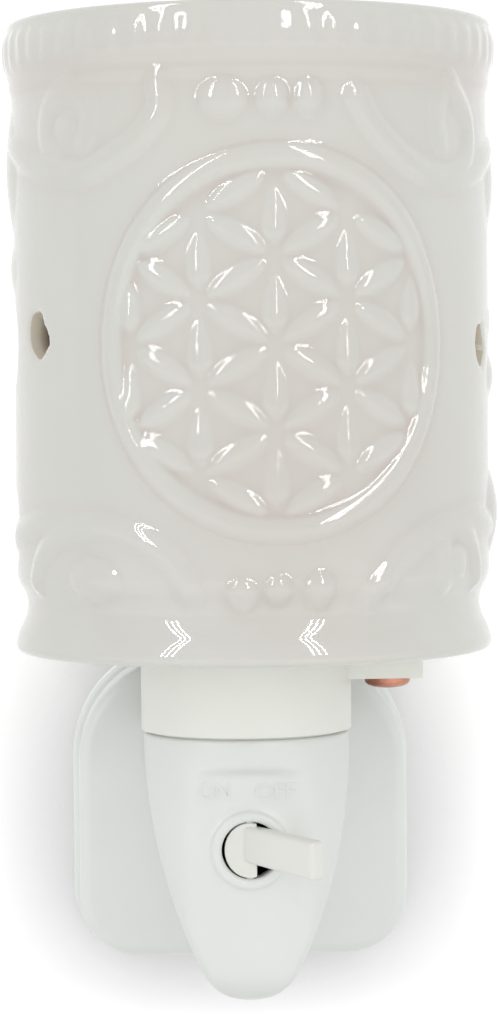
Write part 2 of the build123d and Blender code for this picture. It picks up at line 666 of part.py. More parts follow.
def lampholder_body():
    body = tube(BARREL_R, 0, BARREL_BOTTOM, BARREL_TOP)
    body += tube(BARREL_FLANGE_R, 0, BARREL_BOTTOM, BARREL_BOTTOM + BARREL_FLANGE_H)
    body -= tube(SHELL_R + FIT_CLEARANCE, 0, SOCKET_FLOOR, BARREL_TOP)
    for x in TERMINAL_SPOTS:
        body -= Pos(x, 0, 0) * tube(TERMINAL_R + FIT_CLEARANCE, 0, BARREL_BOTTOM, SOCKET_FLOOR)
    screw_end = TOP_WALL_BOTTOM + HOLDER_SCREW_LENGTH + BITE
    for y in HOLDER_SCREW_SPOTS:
        body -= Pos(0, y, 0) * tube(HOLDER_HOLE_R, 0, BARREL_BOTTOM, screw_end)
    return on_axis(body)


def holder_screws():
    """Two screws from inside the housing, through its top wall into the lampholder."""
    screws = []
    low = TOP_WALL_BOTTOM - HOUSING_SCREW_HEAD_H
    for y in HOLDER_SCREW_SPOTS:
        screw = tube(HOUSING_SCREW_HEAD_R, 0, low, TOP_WALL_BOTTOM)
        screw -= Pos(0, 0, low) * extrude(cross_slot(), HOUSING_SCREW_HEAD_H / 2)
        screw += tube(HOUSING_SCREW_R, 0, TOP_WALL_BOTTOM, TOP_WALL_BOTTOM + HOLDER_SCREW_LENGTH)
        screws.append(on_axis(Pos(0, y, 0) * screw))
    return screws


def lampholder_shell():
    body = tube(SHELL_R, SHELL_R - SHELL_WALL, SOCKET_FLOOR, BARREL_TOP - SHELL_SINK)
    lug = Pos(-SHELL_TERMINAL_OUT, 0, 0) * tube(TERMINAL_R, 0, SOCKET_FLOOR, SOCKET_FLOOR + SHELL_WALL)
    body += lug & tube(SHELL_R, 0, SOCKET_FLOOR, SOCKET_FLOOR + SHELL_WALL)
    rod = tube(TERMINAL_R, 0, TERMINAL_BOTTOM, SOCKET_FLOOR)
    return on_axis(body + Pos(-SHELL_TERMINAL_OUT, 0, 0) * rod)


def lampholder_contact():
    plate = tube(HOLDER_CONTACT_R, 0, SOCKET_FLOOR, SOCKET_FLOOR + HOLDER_CONTACT_H)
    return on_axis(plate + tube(TERMINAL_R, 0, TERMINAL_BOTTOM, SOCKET_FLOOR))


def shade_ring():
    body = tube(SHADE_RING_R, BARREL_R + FIT_CLEARANCE, FLOOR_TOP, FLOOR_TOP + SHADE_RING_H)
    notch = tube(SHADE_RING_NOTCH_R, 0, FLOOR_TOP, FLOOR_TOP + SHADE_RING_H)
    for i in range(SHADE_RING_NOTCHES):
        body -= Rot(0, 0, i * 360 / SHADE_RING_NOTCHES) * Pos(SHADE_RING_R, 0, 0) * notch
    return on_axis(body)


# Lamp

def bulb_contact():
    return on_axis(tube(TIP_R, 0, TIP_BOTTOM, TIP_BOTTOM + TIP_H))


def bulb_insulator():
    cone = Cone(TIP_R, CAP_BORE_R - FIT_CLEARANCE, INSULATOR_H)
    plug = tube(CAP_BORE_R - FIT_CLEARANCE, 0, CAP_BOTTOM, CAP_BOTTOM + INSULATOR_H)
    return on_axis(Pos(0, 0, CAP_BOTTOM - INSULATOR_H / 2) * cone + plug)


def bulb_cap():
    body = tube(CAP_R, CAP_BORE_R, CAP_BOTTOM, CAP_TOP)
    pitch = CAP_LENGTH / (CAP_THREADS + 1)
    for i in range(CAP_THREADS):
        body -= Pos(0, 0, CAP_BOTTOM + (i + 1) * pitch - CAP_THREAD_R) * Torus(CAP_R, CAP_THREAD_R)
    return on_axis(body)


def bulb_glass():
    """Pear-shaped bulb, open at the neck that stands in the cap."""
    low, waist = CAP_TOP - GLASS_NECK_BITE, CAP_TOP + GLASS_NECK_BITE / 2
    middle = CAP_TOP + GLASS_HEIGHT - GLASS_R
    walls = []
    for shrink in (0, GLASS_WALL):
        neck, full = GLASS_NECK_R - shrink, GLASS_R - shrink
        slant = full * sqrt(0.5)
        swell = Spline((neck, 0, waist), (full, 0, middle), tangents=[(0, 0, 1), (0, 0, 1)])
        walls += [run([(neck, low), (neck, waist)]), swell]
        walls += [arc((full, middle), (slant, middle + slant), (0, middle + full))]
    top = middle + GLASS_R
    mouth = run([(GLASS_NECK_R, low), (GLASS_NECK_R - GLASS_WALL, low)])
    crown = run([(0, top), (0, top - GLASS_WALL)])
    return on_axis(turning(walls + [mouth, crown]))


def bulb_stem():
    low = CAP_TOP - GLASS_NECK_BITE
    flare = tube(GLASS_NECK_R - GLASS_WALL - FIT_CLEARANCE, 0, low, low + GLASS_WALL)
    return on_axis(flare + tube(STEM_R, 0, low, STEM_TOP))


def bulb_filament():
    root = STEM_R / 2
    high = STEM_TOP + FILAMENT_RISE
    route = [(-root, 0, STEM_TOP), (-FILAMENT_HALF, 0, high), (FILAMENT_HALF, 0, high), (root, 0, STEM_TOP)]
    leads = wire_tube(route, FILAMENT_R)
    return on_axis(leads & tube(GLASS_R, 0, STEM_TOP, high + GLASS_R))


# Ceramic shade

def shade_blank():
    """Shade without its relief: floor with a hole, foot, waist, body, rim band, lip and the dish's seat."""
    foot_top = SHADE_BOTTOM + FOOT_EDGE + FOOT_BAND
    body_low, body_high = SHADE_BOTTOM + BODY_Z, SHADE_TOP - COVE_DROP
    foot_slant = FOOT_EDGE * (1 - sqrt(0.5))
    lip_slant = LIP_EDGE * (1 - sqrt(0.5))
    up = (0, 0, 1)
    foot_flat = (FOOT_R - FOOT_EDGE, SHADE_BOTTOM)
    foot_side = (FOOT_R, SHADE_BOTTOM + FOOT_EDGE)
    lip_side = (LIP_R, SHADE_TOP - LIP_EDGE)
    lip_flat = (LIP_R - LIP_EDGE, SHADE_TOP)
    waist = Spline(
        (FOOT_R, 0, foot_top),
        (WAIST_R, 0, SHADE_BOTTOM + WAIST_Z),
        (SHADE_R, 0, body_low),
        tangents=[up, up],
    )
    rim = Spline(
        (SHADE_R, 0, body_high),
        (RIM_R, 0, SHADE_TOP - RIM_BULGE_DROP),
        (LIP_R, 0, SHADE_TOP - LIP_EDGE),
        tangents=[up, up],
    )
    inside = [lip_flat, (DISH_SEAT_R, SHADE_TOP), (DISH_SEAT_R, DISH_LEDGE), (BORE_R, DISH_LEDGE)]
    inside += [(BORE_R, FLOOR_TOP), (FLOOR_HOLE_R, FLOOR_TOP), (FLOOR_HOLE_R, SHADE_BOTTOM), foot_flat]
    return turning([
        run(inside),
        arc(foot_flat, (FOOT_R - foot_slant, SHADE_BOTTOM + foot_slant), foot_side),
        run([foot_side, (FOOT_R, foot_top)]),
        waist,
        run([(SHADE_R, body_low), (SHADE_R, body_high)]),
        rim,
        arc(lip_side, (LIP_R - lip_slant, SHADE_TOP - lip_slant), lip_flat),
    ])


def wall_plane(angle, height, radius):
    """Plane on the shade's wall, angle in degrees from the front to the right, height over its bottom."""
    out = Vector(sin(radians(angle)), -cos(radians(angle)), 0)
    along = Vector(cos(radians(angle)), sin(radians(angle)), 0)
    return Plane(origin=out * radius + Vector(0, 0, SHADE_BOTTOM + height), x_dir=along, z_dir=out)


def wall_angle(arc_length):
    """Angle in degrees that an arc length takes up on the shade's wall."""
    return degrees(arc_length / SHADE_R)


def petal_spots():
    """Places and tilts of the petals, one on each edge of a triangular grid of nodes in a hexagon."""
    spots = []
    column = PETAL_PITCH * sqrt(3) / 2
    nodes = []
    for i in range(-PETAL_RINGS, PETAL_RINGS + 1):
        count = 2 * PETAL_RINGS + 1 - abs(i)
        nodes += [(i * column, (j - (count - 1) / 2) * PETAL_PITCH) for j in range(count)]
    for x, y in nodes:
        for tilt in (-30, 30, 90):
            end = (x + PETAL_PITCH * cos(radians(tilt)), y + PETAL_PITCH * sin(radians(tilt)))
            if any(abs(end[0] - u) + abs(end[1] - v) < PETAL_PITCH / 10 for u, v in nodes):
                spots.append(((x + end[0]) / 2, (y + end[1]) / 2, tilt))
    return spots


def petals(side):
    """Raised pointed petals with sloping flanks, on one side of the shade."""
    half, wide = PETAL_LENGTH / 2, PETAL_WIDTH / 2
    upper = ThreePointArc((-half, 0), (0, wide), (half, 0))
    leaf = make_face([upper, ThreePointArc((half, 0), (0, -wide), (-half, 0))])
    raised = []
    for x, y, tilt in petal_spots():
        plane = wall_plane(side + wall_angle(x), MEDALLION_Z + y, SHADE_R - BITE)
        raised.append(extrude(plane * Rot(0, 0, tilt) * leaf, PETAL_RISE + BITE, taper=PETAL_SLOPE))
    return raised


def beads(side):
    """Rows of three beads over and under the medallion."""
    spots = [(side + step * BEAD_STEP, z) for z in (BEAD_TOP_Z, BEAD_BOTTOM_Z) for step in (-1, 0, 1)]
    wall = tube(SHADE_R + BEAD_R, SHADE_R - SHADE_WALL / 2, SHADE_BOTTOM, SHADE_TOP)
    return [wall_plane(angle, z, SHADE_R + BEAD_RISE - BEAD_R) * Sphere(BEAD_R) & wall for angle, z in spots]


def bands(side):
    """Medallion ring and corner scrolls, as bands that follow the shade's wall."""
    outer, inner = wall_angle(MEDALLION_R), wall_angle(MEDALLION_R - MEDALLION_BAND)
    ring = Ellipse(SHADE_R * sin(radians(outer)), MEDALLION_R)
    ring -= Ellipse(SHADE_R * sin(radians(inner)), MEDALLION_R - MEDALLION_BAND)
    prisms = [extrude(wall_plane(side, MEDALLION_Z, 0) * ring, 2 * SHADE_R)]
    scroll = Circle(SCROLL_R + SCROLL_BAND / 2) - Circle(SCROLL_R - SCROLL_BAND / 2)
    reach = 2 * SCROLL_R
    for z, half in ((SCROLL_TOP_Z, -1), (SCROLL_BOTTOM_Z, 1)):
        hook = scroll & Pos(0, half * reach / 2) * Rectangle(2 * reach, reach)
        for angle in (-SCROLL_ANGLE, SCROLL_ANGLE):
            prisms.append(extrude(wall_plane(side + angle, z, SHADE_R - SCROLL_R) * hook, 2 * SCROLL_R))
    wall = tube(SHADE_R + BAND_RISE, SHADE_R - BITE, SHADE_BOTTOM + BODY_Z, SHADE_TOP - COVE_DROP)
    return [prism & wall for prism in prisms]


def knobs(side):
    """Round ends of the scrolls."""
    angles = (side - SCROLL_ANGLE, side + SCROLL_ANGLE)
    spots = [(angle, z) for z in (SCROLL_TOP_Z, SCROLL_BOTTOM_Z) for angle in angles]
    wall = tube(SHADE_R + KNOB_R, SHADE_R - SHADE_WALL / 2, SHADE_BOTTOM, SHADE_TOP)
    return [wall_plane(angle, z, SHADE_R + KNOB_RISE - KNOB_R) * Sphere(KNOB_R) & wall for angle, z in spots]


def lobes():
    """Round lobes side by side on the rim band."""
    circle = RIM_R + LOBE_RISE - LOBE_R
    count = floor(2 * pi * circle / LOBE_PITCH)
    wall = tube(RIM_R + LOBE_R, (DISH_SEAT_R + LIP_R) / 2, SHADE_TOP - COVE_DROP, SHADE_TOP)
    row = []
    for i in range(count):
        row.append(wall_plane(i * 360 / count, SHADE_HEIGHT - LOBE_DROP, circle) * Sphere(LOBE_R) & wall)
    return row


def vents():
    """Teardrop holes through the wall, two to each side of the shade."""
    drop = make_face([
        ThreePointArc((-VENT_R, 0), (0, VENT_R), (VENT_R, 0)),
        Line((VENT_R, 0), (0, -VENT_POINT)),
        Line((0, -VENT_POINT), (-VENT_R, 0)),
    ])
    angles = (-VENT_ANGLE, VENT_ANGLE, 180 - VENT_ANGLE, 180 + VENT_ANGLE)
    return [extrude(wall_plane(a, VENT_Z, BORE_R - SHADE_WALL) * drop, 3 * SHADE_WALL) for a in angles]


def ceramic_shade():
    raised = lobes()
    for side in (0, 180):
        raised += petals(side) + beads(side) + bands(side) + knobs(side)
    body = shade_blank() + raised
    for vent in vents():
        body -= vent
    ear_hole = Pos(EAR_SCREW_OUT, 0, 0) * tube(EAR_SCREW_R + SEAT_CLEARANCE, 0, SHADE_BOTTOM, FLOOR_TOP)
    return on_shade(body) - turned(ear_hole)


def wax_dish():
    """Shallow bowl with a flange that rests on the ledge inside the rim."""
    low = DISH_LEDGE - BOWL_DEPTH
    top = DISH_LEDGE + DISH_FLANGE_H
    bowl = BORE_R - BOWL_GAP
    body = turning([
        run([(0, low + DISH_WALL), (0, low), (BOWL_FLOOR_R, low)]),
        sagging((BOWL_FLOOR_R, low), (bowl, DISH_LEDGE), -BOWL_SWELL),
        run([(bowl, DISH_LEDGE), (DISH_R, DISH_LEDGE), (DISH_R, top), (bowl - DISH_WALL, top)]),
        sagging((bowl - DISH_WALL, top), (BOWL_FLOOR_R - DISH_WALL / 2, low + DISH_WALL), BOWL_SWELL),
        run([(BOWL_FLOOR_R - DISH_WALL / 2, low + DISH_WALL), (0, low + DISH_WALL)]),
    ])
    rim = body.faces().sort_by(Axis.Z)[-1].edges()
    return on_shade(fillet(rim, DISH_EDGE))


# Wires

def route(bends):
    """Places of a wire's bends as points."""
    return [(x, -depth, z) for x, depth, z in bends]


def live_wire():
    """From the left fuse clip through the window to the upper switch contact."""
    height = SWITCH_Z + CONTACT_SPREAD
    clip_bottom = FUSE_Z - FUSE_R - FIT_CLEARANCE - CLIP_WALL
    points = [(CONTACT_X, -CONTACT_DEPTH, height), (CONTACT_X, LIVE_STUB - CONTACT_DEPTH, height)]
    points += route(LIVE_BENDS)
    points += [(-CAP_MIDDLE, -FUSE_DEPTH, clip_bottom - CLIP_STUB), (-CAP_MIDDLE, -FUSE_DEPTH, clip_bottom)]
    return wire_tube(points, WIRE_R)


def switched_wire():
    """From the lower switch contact to the lampholder's middle contact."""
    height = SWITCH_Z - CONTACT_SPREAD
    points = [(CONTACT_X, -CONTACT_DEPTH, height), (CONTACT_X, SWITCHED_STUB - CONTACT_DEPTH, height)]
    points += route(SWITCHED_BENDS)
    points += [(0, -WALL_TO_AXIS, TERMINAL_BOTTOM - TERMINAL_STUB), (0, -WALL_TO_AXIS, TERMINAL_BOTTOM)]
    return wire_tube(points, WIRE_R)


def neutral_wire():
    """From the neutral pin through the window to the lampholder's shell."""
    pin, side = -PIN_PITCH / 2, -SHELL_TERMINAL_OUT
    points = [(pin, -TAIL_END, LINE_PIN_Z), (pin, -TAIL_END - PIN_STUB, LINE_PIN_Z)]
    points += route(NEUTRAL_BENDS)
    under = TERMINAL_BOTTOM - TERMINAL_STUB
    points += [(side, -WALL_TO_AXIS, under), (side, -WALL_TO_AXIS, TERMINAL_BOTTOM)]
    return wire_tube(points, WIRE_R)


PIECES = {
    "ceramic_shade": ceramic_shade,
    "wax_dish": wax_dish,
    "bulb_glass": bulb_glass,
    "bulb_stem": bulb_stem,
    "bulb_filament": bulb_filament,
    "bulb_cap": bulb_cap,
    "bulb_insulator": bulb_insulator,
    "bulb_contact": bulb_contact,
    "lampholder_body": lampholder_body,
    "lampholder_shell": lampholder_shell,
    "lampholder_contact": lampholder_contact,
    "holder_screws": holder_screws,
    "shade_ring": shade_ring,
    "neck_collar": neck_collar,
    "ear_screw": ear_screw,
    "ear_nut": ear_nut,
    "switch_housing": switch_housing,
    "toggle_lever": toggle_lever,
    "toggle_pin": pivot_rod,
    "contact_arm": contact_arm,
    "switch_contacts": contact_bars,
    "front_plate": front_plate,
    "rear_cover": rear_cover,
    "cover_screws": cover_screws,
    "housing_screws": housing_screws,
    "live_pin": lambda: line_pin(PIN_PITCH / 2),
    "neutral_pin": lambda: line_pin(-PIN_PITCH / 2),
    "earth_pin": earth_pin,
    "pin_sleeves": lambda: [sleeve(-PIN_PITCH / 2), sleeve(PIN_PITCH / 2)],
    "fuse_tube": fuse_tube,
    "fuse_caps": fuse_caps,
    "fuse_clips": fuse_clips,
    "live_wire": live_wire,
    "switched_wire": switched_wire,
    "neutral_wire": neutral_wire,
}

os.makedirs("parts", exist_ok=True)
for name, make in PIECES.items():
    made = make()
    group = made if isinstance(made, list) else [made]
    solids = [solid for piece in group for solid in piece.solids()]
    export_step(Compound(solids) if len(solids) > 1 else solids[0], f"parts/{name}.step")
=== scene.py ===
import bmesh
import bpy
import math
import numpy as np
from mathutils import Matrix, Vector


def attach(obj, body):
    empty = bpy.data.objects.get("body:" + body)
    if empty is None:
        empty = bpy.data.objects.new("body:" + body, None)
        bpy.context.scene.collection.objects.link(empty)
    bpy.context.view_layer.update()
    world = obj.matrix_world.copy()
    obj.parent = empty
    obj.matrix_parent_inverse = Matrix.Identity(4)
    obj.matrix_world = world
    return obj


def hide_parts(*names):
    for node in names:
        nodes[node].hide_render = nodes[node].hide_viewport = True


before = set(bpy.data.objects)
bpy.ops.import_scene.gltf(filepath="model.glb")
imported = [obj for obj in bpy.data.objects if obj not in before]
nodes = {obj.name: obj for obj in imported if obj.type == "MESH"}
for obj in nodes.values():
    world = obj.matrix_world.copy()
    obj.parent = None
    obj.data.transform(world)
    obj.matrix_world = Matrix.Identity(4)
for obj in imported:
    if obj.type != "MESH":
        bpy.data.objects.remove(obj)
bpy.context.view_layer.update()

# Sizes are in millimetres and angles in degrees, unless a line says otherwise
MM = 0.001
AXIS_Y = -44.0  # upright axis of shade and neck
SHADE_SHIFT = 1.4  # of the shade to the right of that axis
SHADE_TURN = 3.5
SHADE_BOTTOM = 28.9
SHADE_TOP = 129.5
SHADE_R = 38.2
BORE_R = 34.2
SEAT_R = 36.55
LEDGE_Z = 124.0
FLOOR_TOP = 33.9
FLOOR_HOLE_R = 13.9
FOOT_R = 38.5
FOOT_EDGE = 1.3
LIP_R = 38.9
LIP_EDGE = 1.0
REACH_R = 39.86  # nothing on the shade stands out further


# Camera, at the photograph's viewing angle

def make_camera():
    focal, frame_tall = 3325.0, 1024  # pixels of the photograph
    distance, height = 538.5, 72.9
    azimuth, aim, pitch, roll = (math.radians(a) for a in (-1.74, 0.09, 2.33, -0.576))
    up = Vector((0, 0, 1))
    heading = azimuth - aim
    level = Vector((-math.sin(heading), math.cos(heading), 0))
    side = Vector((math.cos(heading), math.sin(heading), 0))
    forward = level * math.cos(pitch) - up * math.sin(pitch)
    upper = up * math.cos(pitch) + level * math.sin(pitch)
    right = side * math.cos(roll) + upper * math.sin(roll)
    top = upper * math.cos(roll) - side * math.sin(roll)
    where = Vector((distance * math.sin(azimuth), AXIS_Y - distance * math.cos(azimuth), height)) * MM
    data = bpy.data.cameras.new("camera")
    data.sensor_width = 36.0
    data.lens = focal * data.sensor_width / frame_tall
    data.clip_start, data.clip_end = 0.01, 50
    camera = bpy.data.objects.new("camera", data)
    bpy.context.scene.collection.objects.link(camera)
    turn = Matrix((right, top, -forward)).transposed()
    camera.matrix_world = Matrix.Translation(where) @ turn.to_4x4()
    bpy.context.scene.camera = camera


make_camera()


# Materials

def srgb(red, green, blue):
    """Linear colour of an 8-bit screen colour."""
    out = []
    for part in (red, green, blue):
        c = part / 255
        out.append(c / 12.92 if c <= 0.04045 else ((c + 0.055) / 1.055) ** 2.4)
    return (*out, 1.0)


class Shader:
    """A Principled material with its node tree, for adding texture nodes in few lines."""

    def __init__(self, name, rough, metal=0.0, **sockets):
        self.material = bpy.data.materials.new(name)
        self.material.use_nodes = True
        self.tree = self.material.node_tree
        self.bsdf = self.tree.nodes["Principled BSDF"]
        self.bsdf.inputs["Roughness"].default_value = rough
        self.bsdf.inputs["Metallic"].default_value = metal
        for key, value in sockets.items():
            self.bsdf.inputs[key.replace("_", " ")].default_value = value
        self.coords = self.node("ShaderNodeTexCoord").outputs["Object"]

    def node(self, kind, **values):
        made = self.tree.nodes.new(kind)
        for key, value in values.items():
            setattr(made, key, value)
        return made

    def link(self, a, b):
        self.tree.links.new(a, b)

    def noise(self, scale, detail=2.0, rough=0.5, stretch=None):
        """Noise with so many waves to a metre, drawn out by stretch."""
        made = self.node("ShaderNodeTexNoise")
        made.inputs["Scale"].default_value = scale
        made.inputs["Detail"].default_value = detail
        made.inputs["Roughness"].default_value = rough
        place = self.coords
        if stretch:
            mapping = self.node("ShaderNodeMapping")
            mapping.inputs["Scale"].default_value = stretch
            self.link(place, mapping.inputs["Vector"])
            place = mapping.outputs["Vector"]
        self.link(place, made.inputs["Vector"])
        return made.outputs["Fac"]

    def ramp(self, value, low, high, to_low=0.0, to_high=1.0):
        """Value spread from one range over another."""
        made = self.node("ShaderNodeMapRange")
        self.link(value, made.inputs["Value"])
        ends = {"From Min": low, "From Max": high, "To Min": to_low, "To Max": to_high}
        for key, number in ends.items():
            made.inputs[key].default_value = number
        return made.outputs["Result"]

    def mix(self, factor, a, b):
        made = self.node("ShaderNodeMix", data_type="RGBA")
        self.link(factor, made.inputs["Factor"])
        for key, colour in (("A", a), ("B", b)):
            socket = [s for s in made.inputs if s.name == key and s.type == "RGBA"][0]
            if hasattr(colour, "is_output"):
                self.link(colour, socket)
            else:
                socket.default_value = colour
        return [s for s in made.outputs if s.type == "RGBA"][0]

    def colour(self, value):
        self.link(value, self.bsdf.inputs["Base Color"])

    def roughness(self, value):
        self.link(value, self.bsdf.inputs["Roughness"])

    def bump(self, value, strength, distance):
        """Bump from a value; distance in metres."""
        made = self.node("ShaderNodeBump")
        made.inputs["Strength"].default_value = strength
        made.inputs["Distance"].default_value = distance
        self.link(value, made.inputs["Height"])
        self.link(made.outputs["Normal"], self.bsdf.inputs["Normal"])


def moulded(name, colour, shade, rough=0.38, grain=420.0, depth=0.012, **sockets):
    """Moulded plastic: slight flow in its colour, a fine texture, uneven gloss."""
    s = Shader(name, rough, **sockets)
    s.colour(s.mix(s.ramp(s.noise(55, 3), 0.3, 0.7), colour, shade))
    s.roughness(s.ramp(s.noise(120, 4), 0.25, 0.75, rough - 0.05, rough + 0.08))
    s.bump(s.noise(grain, 2), depth, 0.0001)
    return s.material


def metal(name, colour, shade, rough=0.28, stretch=(1, 1, 14), scale=420.0, depth=0.05):
    """Drawn or turned metal: fine lines along one way and slight tarnish."""
    s = Shader(name, rough, 1.0)
    s.colour(s.mix(s.ramp(s.noise(160, 4), 0.3, 0.72), colour, shade))
    s.roughness(s.ramp(s.noise(300, 3), 0.3, 0.7, rough - 0.07, rough + 0.12))
    s.bump(s.noise(scale, 3, 0.6, stretch), depth, 0.0001)
    return s.material


def glaze(name, body, pool_and_shade, bare, warm_and_shade_tone, rough=0.03):
    """White glaze over fired clay: painted shade in its hollows, partly glaze pooled there, a warmer
    painted shade below the rim, and a warmer tone low on the front.
    """
    s = Shader(name, rough, Coat_Weight=0.3, Coat_Roughness=0.03)
    hollow = s.node("ShaderNodeAttribute", attribute_name="hollow").outputs["Fac"]
    warmth_and_shade = s.node("ShaderNodeAttribute", attribute_name="warmth_and_shade").outputs["Fac"]
    cloud = s.ramp(s.noise(34, 3), 0.34, 0.68)
    # Warmer tone low on the front, and painted shade below the rim
    tone = s.mix(warmth_and_shade, s.mix(cloud, body, bare), warm_and_shade_tone)
    # Painted shade in the hollows, partly glaze pooled there
    s.colour(s.mix(s.ramp(hollow, 0.02, 0.42, 0.0, 0.9), tone, pool_and_shade))
    s.roughness(s.ramp(s.noise(90, 3), 0.3, 0.7, rough - 0.01, rough + 0.015))
    s.bump(s.noise(260, 2), 0.03, 0.0002)
    return s.material


# Glaze tones: body; painted shade of the hollows with pooled glaze; bare clay showing through; a warmer
# tone that is also painted shade below the rim
GLAZE_TONES = (srgb(215, 215, 209), srgb(203, 194, 187), srgb(213, 212, 205), srgb(212, 207, 201))
CERAMIC = glaze("glazed_ceramic", *GLAZE_TONES)
DISH = glaze("dish_glaze", *GLAZE_TONES)


def bisque():
    """Bare clay inside the shade: painted shade turns it brown deeper in, painted light keeps it pale at
    the mouths of the vents.
    """
    s = Shader("shade_inside", 0.7)
    deep = s.node("ShaderNodeAttribute", attribute_name="hollow").outputs["Fac"]
    brown = s.mix(s.ramp(s.noise(70, 5), 0.3, 0.7), srgb(112, 82, 62), srgb(148, 116, 92))
    s.colour(s.mix(s.ramp(deep, 0.4, 0.95), srgb(238, 230, 212), brown))
    s.bump(s.noise(900, 4), 0.2, 0.0003)
    return s.material


INSIDE = bisque()


# Relief of the shade, over its wall; angles from the middle of the medallion to the right

MEDALLION_X, MEDALLION_Z = 0.7, 77.9
MEDALLION_WIDE, MEDALLION_TALL = 28.3, 29.85  # half its width and height, along the wall
MEDALLION_R = 29.0  # mean of these, to turn a share of it into millimetres
RING_IN = 1.55  # middle of the medallion's ring, inside its outer edge
RING_HALF, RING_RISE = 1.95, 0.9  # half the ring's width, and its height
COVE_Z = 119.6  # hollow below the rim
ARC = SHADE_R * math.pi / 180  # millimetres of wall to a degree
PITCH = 13.2  # of the petals' grid
UPRIGHT_PETAL = (10.3, 5.7, 6.0, 1.5)  # length, width, bluntness of the ends, height
LEANING_PETAL = (11.6, 5.0, 4.5, 1.15)
PETAL_REACH = 7.0  # no petal goes further from its middle
PETAL_LOW = 0.22
PETAL_RIDGE, PETAL_FALL = 0.7, 0.3  # of upright ones: height in the middle, and loss towards the top
PETAL_SHARP = 0.65  # share of straight flanks in theirs
COLUMNS = 720
ROW_STEP = 0.36
MERGE = 4  # fine columns to a coarse one
BORE_RINGS = 22
SOFTEN = 0.62  # blur of the relief, in cells
SPREAD = 5.0  # blur of what it is set against to find hollows
FADE = 1.5  # over which the relief fades out at the foot and the lip

PROFILE = [  # height over the bottom, and radius there
    (0.0, FOOT_R), (0.95, FOOT_R), (7.85, 36.6), (13.2, SHADE_R), (88.4, SHADE_R), (90.8, 38.66),
    (94.6, 39.32), (96.6, 39.35), (99.6, LIP_R), (100.6, LIP_R),
]

SCROLLS = [  # angle and height of the points along each
    ("top left", [(-26.5, 117.2), (-26.5, 113.2), (-31, 109.5), (-36.3, 107.1), (-43.4, 104.9),
                  (-49.8, 104.1), (-59.3, 105), (-72.6, 107.2), (-82.3, 109.2), (-90, 110.2)]),
    ("top left curl", [(-56, 106), (-60.2, 108.6), (-61.2, 112.2), (-58.6, 115.3), (-53.8, 117),
                       (-49, 116.6), (-45.4, 114.4), (-44.8, 111.5), (-46.4, 108.9)]),
    ("top right", [(19.9, 115.2), (23.2, 111.5), (27.3, 108.6), (34.5, 105.2), (41.1, 103.6),
                   (48.9, 103.3), (55.2, 105.5), (58.1, 108.7), (57, 112.6), (52.9, 115.5), (47.9, 118)]),
    ("top right curl", [(47.9, 118), (44.8, 115.2), (43.4, 112.1), (44.9, 108.6)]),
    ("top right tail", [(48.9, 103.3), (58, 104.2), (70, 106.6), (82, 109.2), (90, 110.2)]),
    ("low left", [(-20.5, 40), (-21.8, 43), (-25.9, 46.1), (-29.6, 47.5), (-36.1, 49.3), (-43.2, 50.1),
                  (-51.3, 49.6), (-59.1, 47.9), (-65.4, 44.6), (-68.9, 40.8)]),
    ("low left tail", [(-51.3, 49.6), (-64, 50.2), (-78, 48.6), (-90, 47)]),
    ("low right", [(22.7, 38.8), (26.2, 41.7), (30.5, 44.7), (35.1, 46.8), (40.1, 48.3), (45.7, 49.4),
                   (51.3, 49.4), (56.5, 47.6), (60.6, 44.4), (62, 40.8)]),
    ("low right tail", [(45.7, 49.4), (60, 50.4), (76, 48.8), (90, 47)]),
    ("low right curl", [(44.9, 46.4), (46, 43.4), (45.9, 40.3)]),
]
SCROLL_WIDE = 2.5
SCROLL_RISE = 0.75
CURL_RISE = 0.4
POOL_SHADE_EDGE = 1.03  # where the medallion ends for the painted shade and pooled glaze in hollows
POOL_SHADE_OUTSIDE = 0.5  # share of that painted shade and pooled tone outside it
GROUND_DEPTH = 0.5  # of the medallion's field below the wall
GROUND_START, GROUND_SLOPE = 0.4, 1.8  # from the ring's middle inwards
BLUSH_ANGLE, BLUSH_Z = 3.0, 58.0  # middle of the warmer tone on the front
BLUSH_WIDE, BLUSH_TALL = 25.0, 30.0  # degrees and millimetres
RIM_SHADE_TALL = 3.5  # height of the warmer painted shade below the rim

BEADS = [  # angle and place up the shade, width and height
    (-11.4, 114.8, 7.7, 6.7), (-0.2, 114.8, 4.9, 6.0), (8.1, 114.8, 4.7, 6.0),
    (-8.1, 39.7, 5.4, 6.0), (0.3, 40.4, 4.5, 5.5), (10.1, 40.3, 5.2, 6.4),
]
BEAD_RISE = 1.25
# Discs, knobs and dips: angle and place up the shade, width, height, and how far each stands out
DISCS = [(-45.6, 41.8, 10.6, 7.2, 0.75), (50.5, 43.6, 7.5, 5.6, 0.55), (-53, 111.2, 5.5, 4.6, 0.3)]
SIDE_RIGHT, SIDE_LEFT = 80.7, -91.2  # angles at which the photograph shows the outline
SIDE_KNOBS = [
    (SIDE_RIGHT, 104, 12, 15, 0.8), (SIDE_RIGHT, 81.5, 10, 5, 0.25), (SIDE_RIGHT, 72.7, 10, 7, 0.7),
    (SIDE_RIGHT, 51, 13, 14, 1.3), (SIDE_LEFT, 106, 15, 20, 0.9), (SIDE_LEFT, 90.4, 13, 8, 0.5),
]
SIDE_DIPS = [(SIDE_LEFT, 78.5, 13, 15, -0.45), (SIDE_LEFT, 49, 13, 14, -0.45)]
LOBES = 55
LOBE_START = 1.1
LOBE_RISE = 0.26
LOBE_Z, LOBE_HALF = 125.0, 3.7
VENTS = [  # angle and place up the shade, half the width and height
    (-66.2, 79.6, 3.5, 3.7), (66.7, 77.5, 2.6, 3.3), (113.3, 77.5, 2.6, 3.3), (246.2, 79.6, 3.5, 3.7),
]
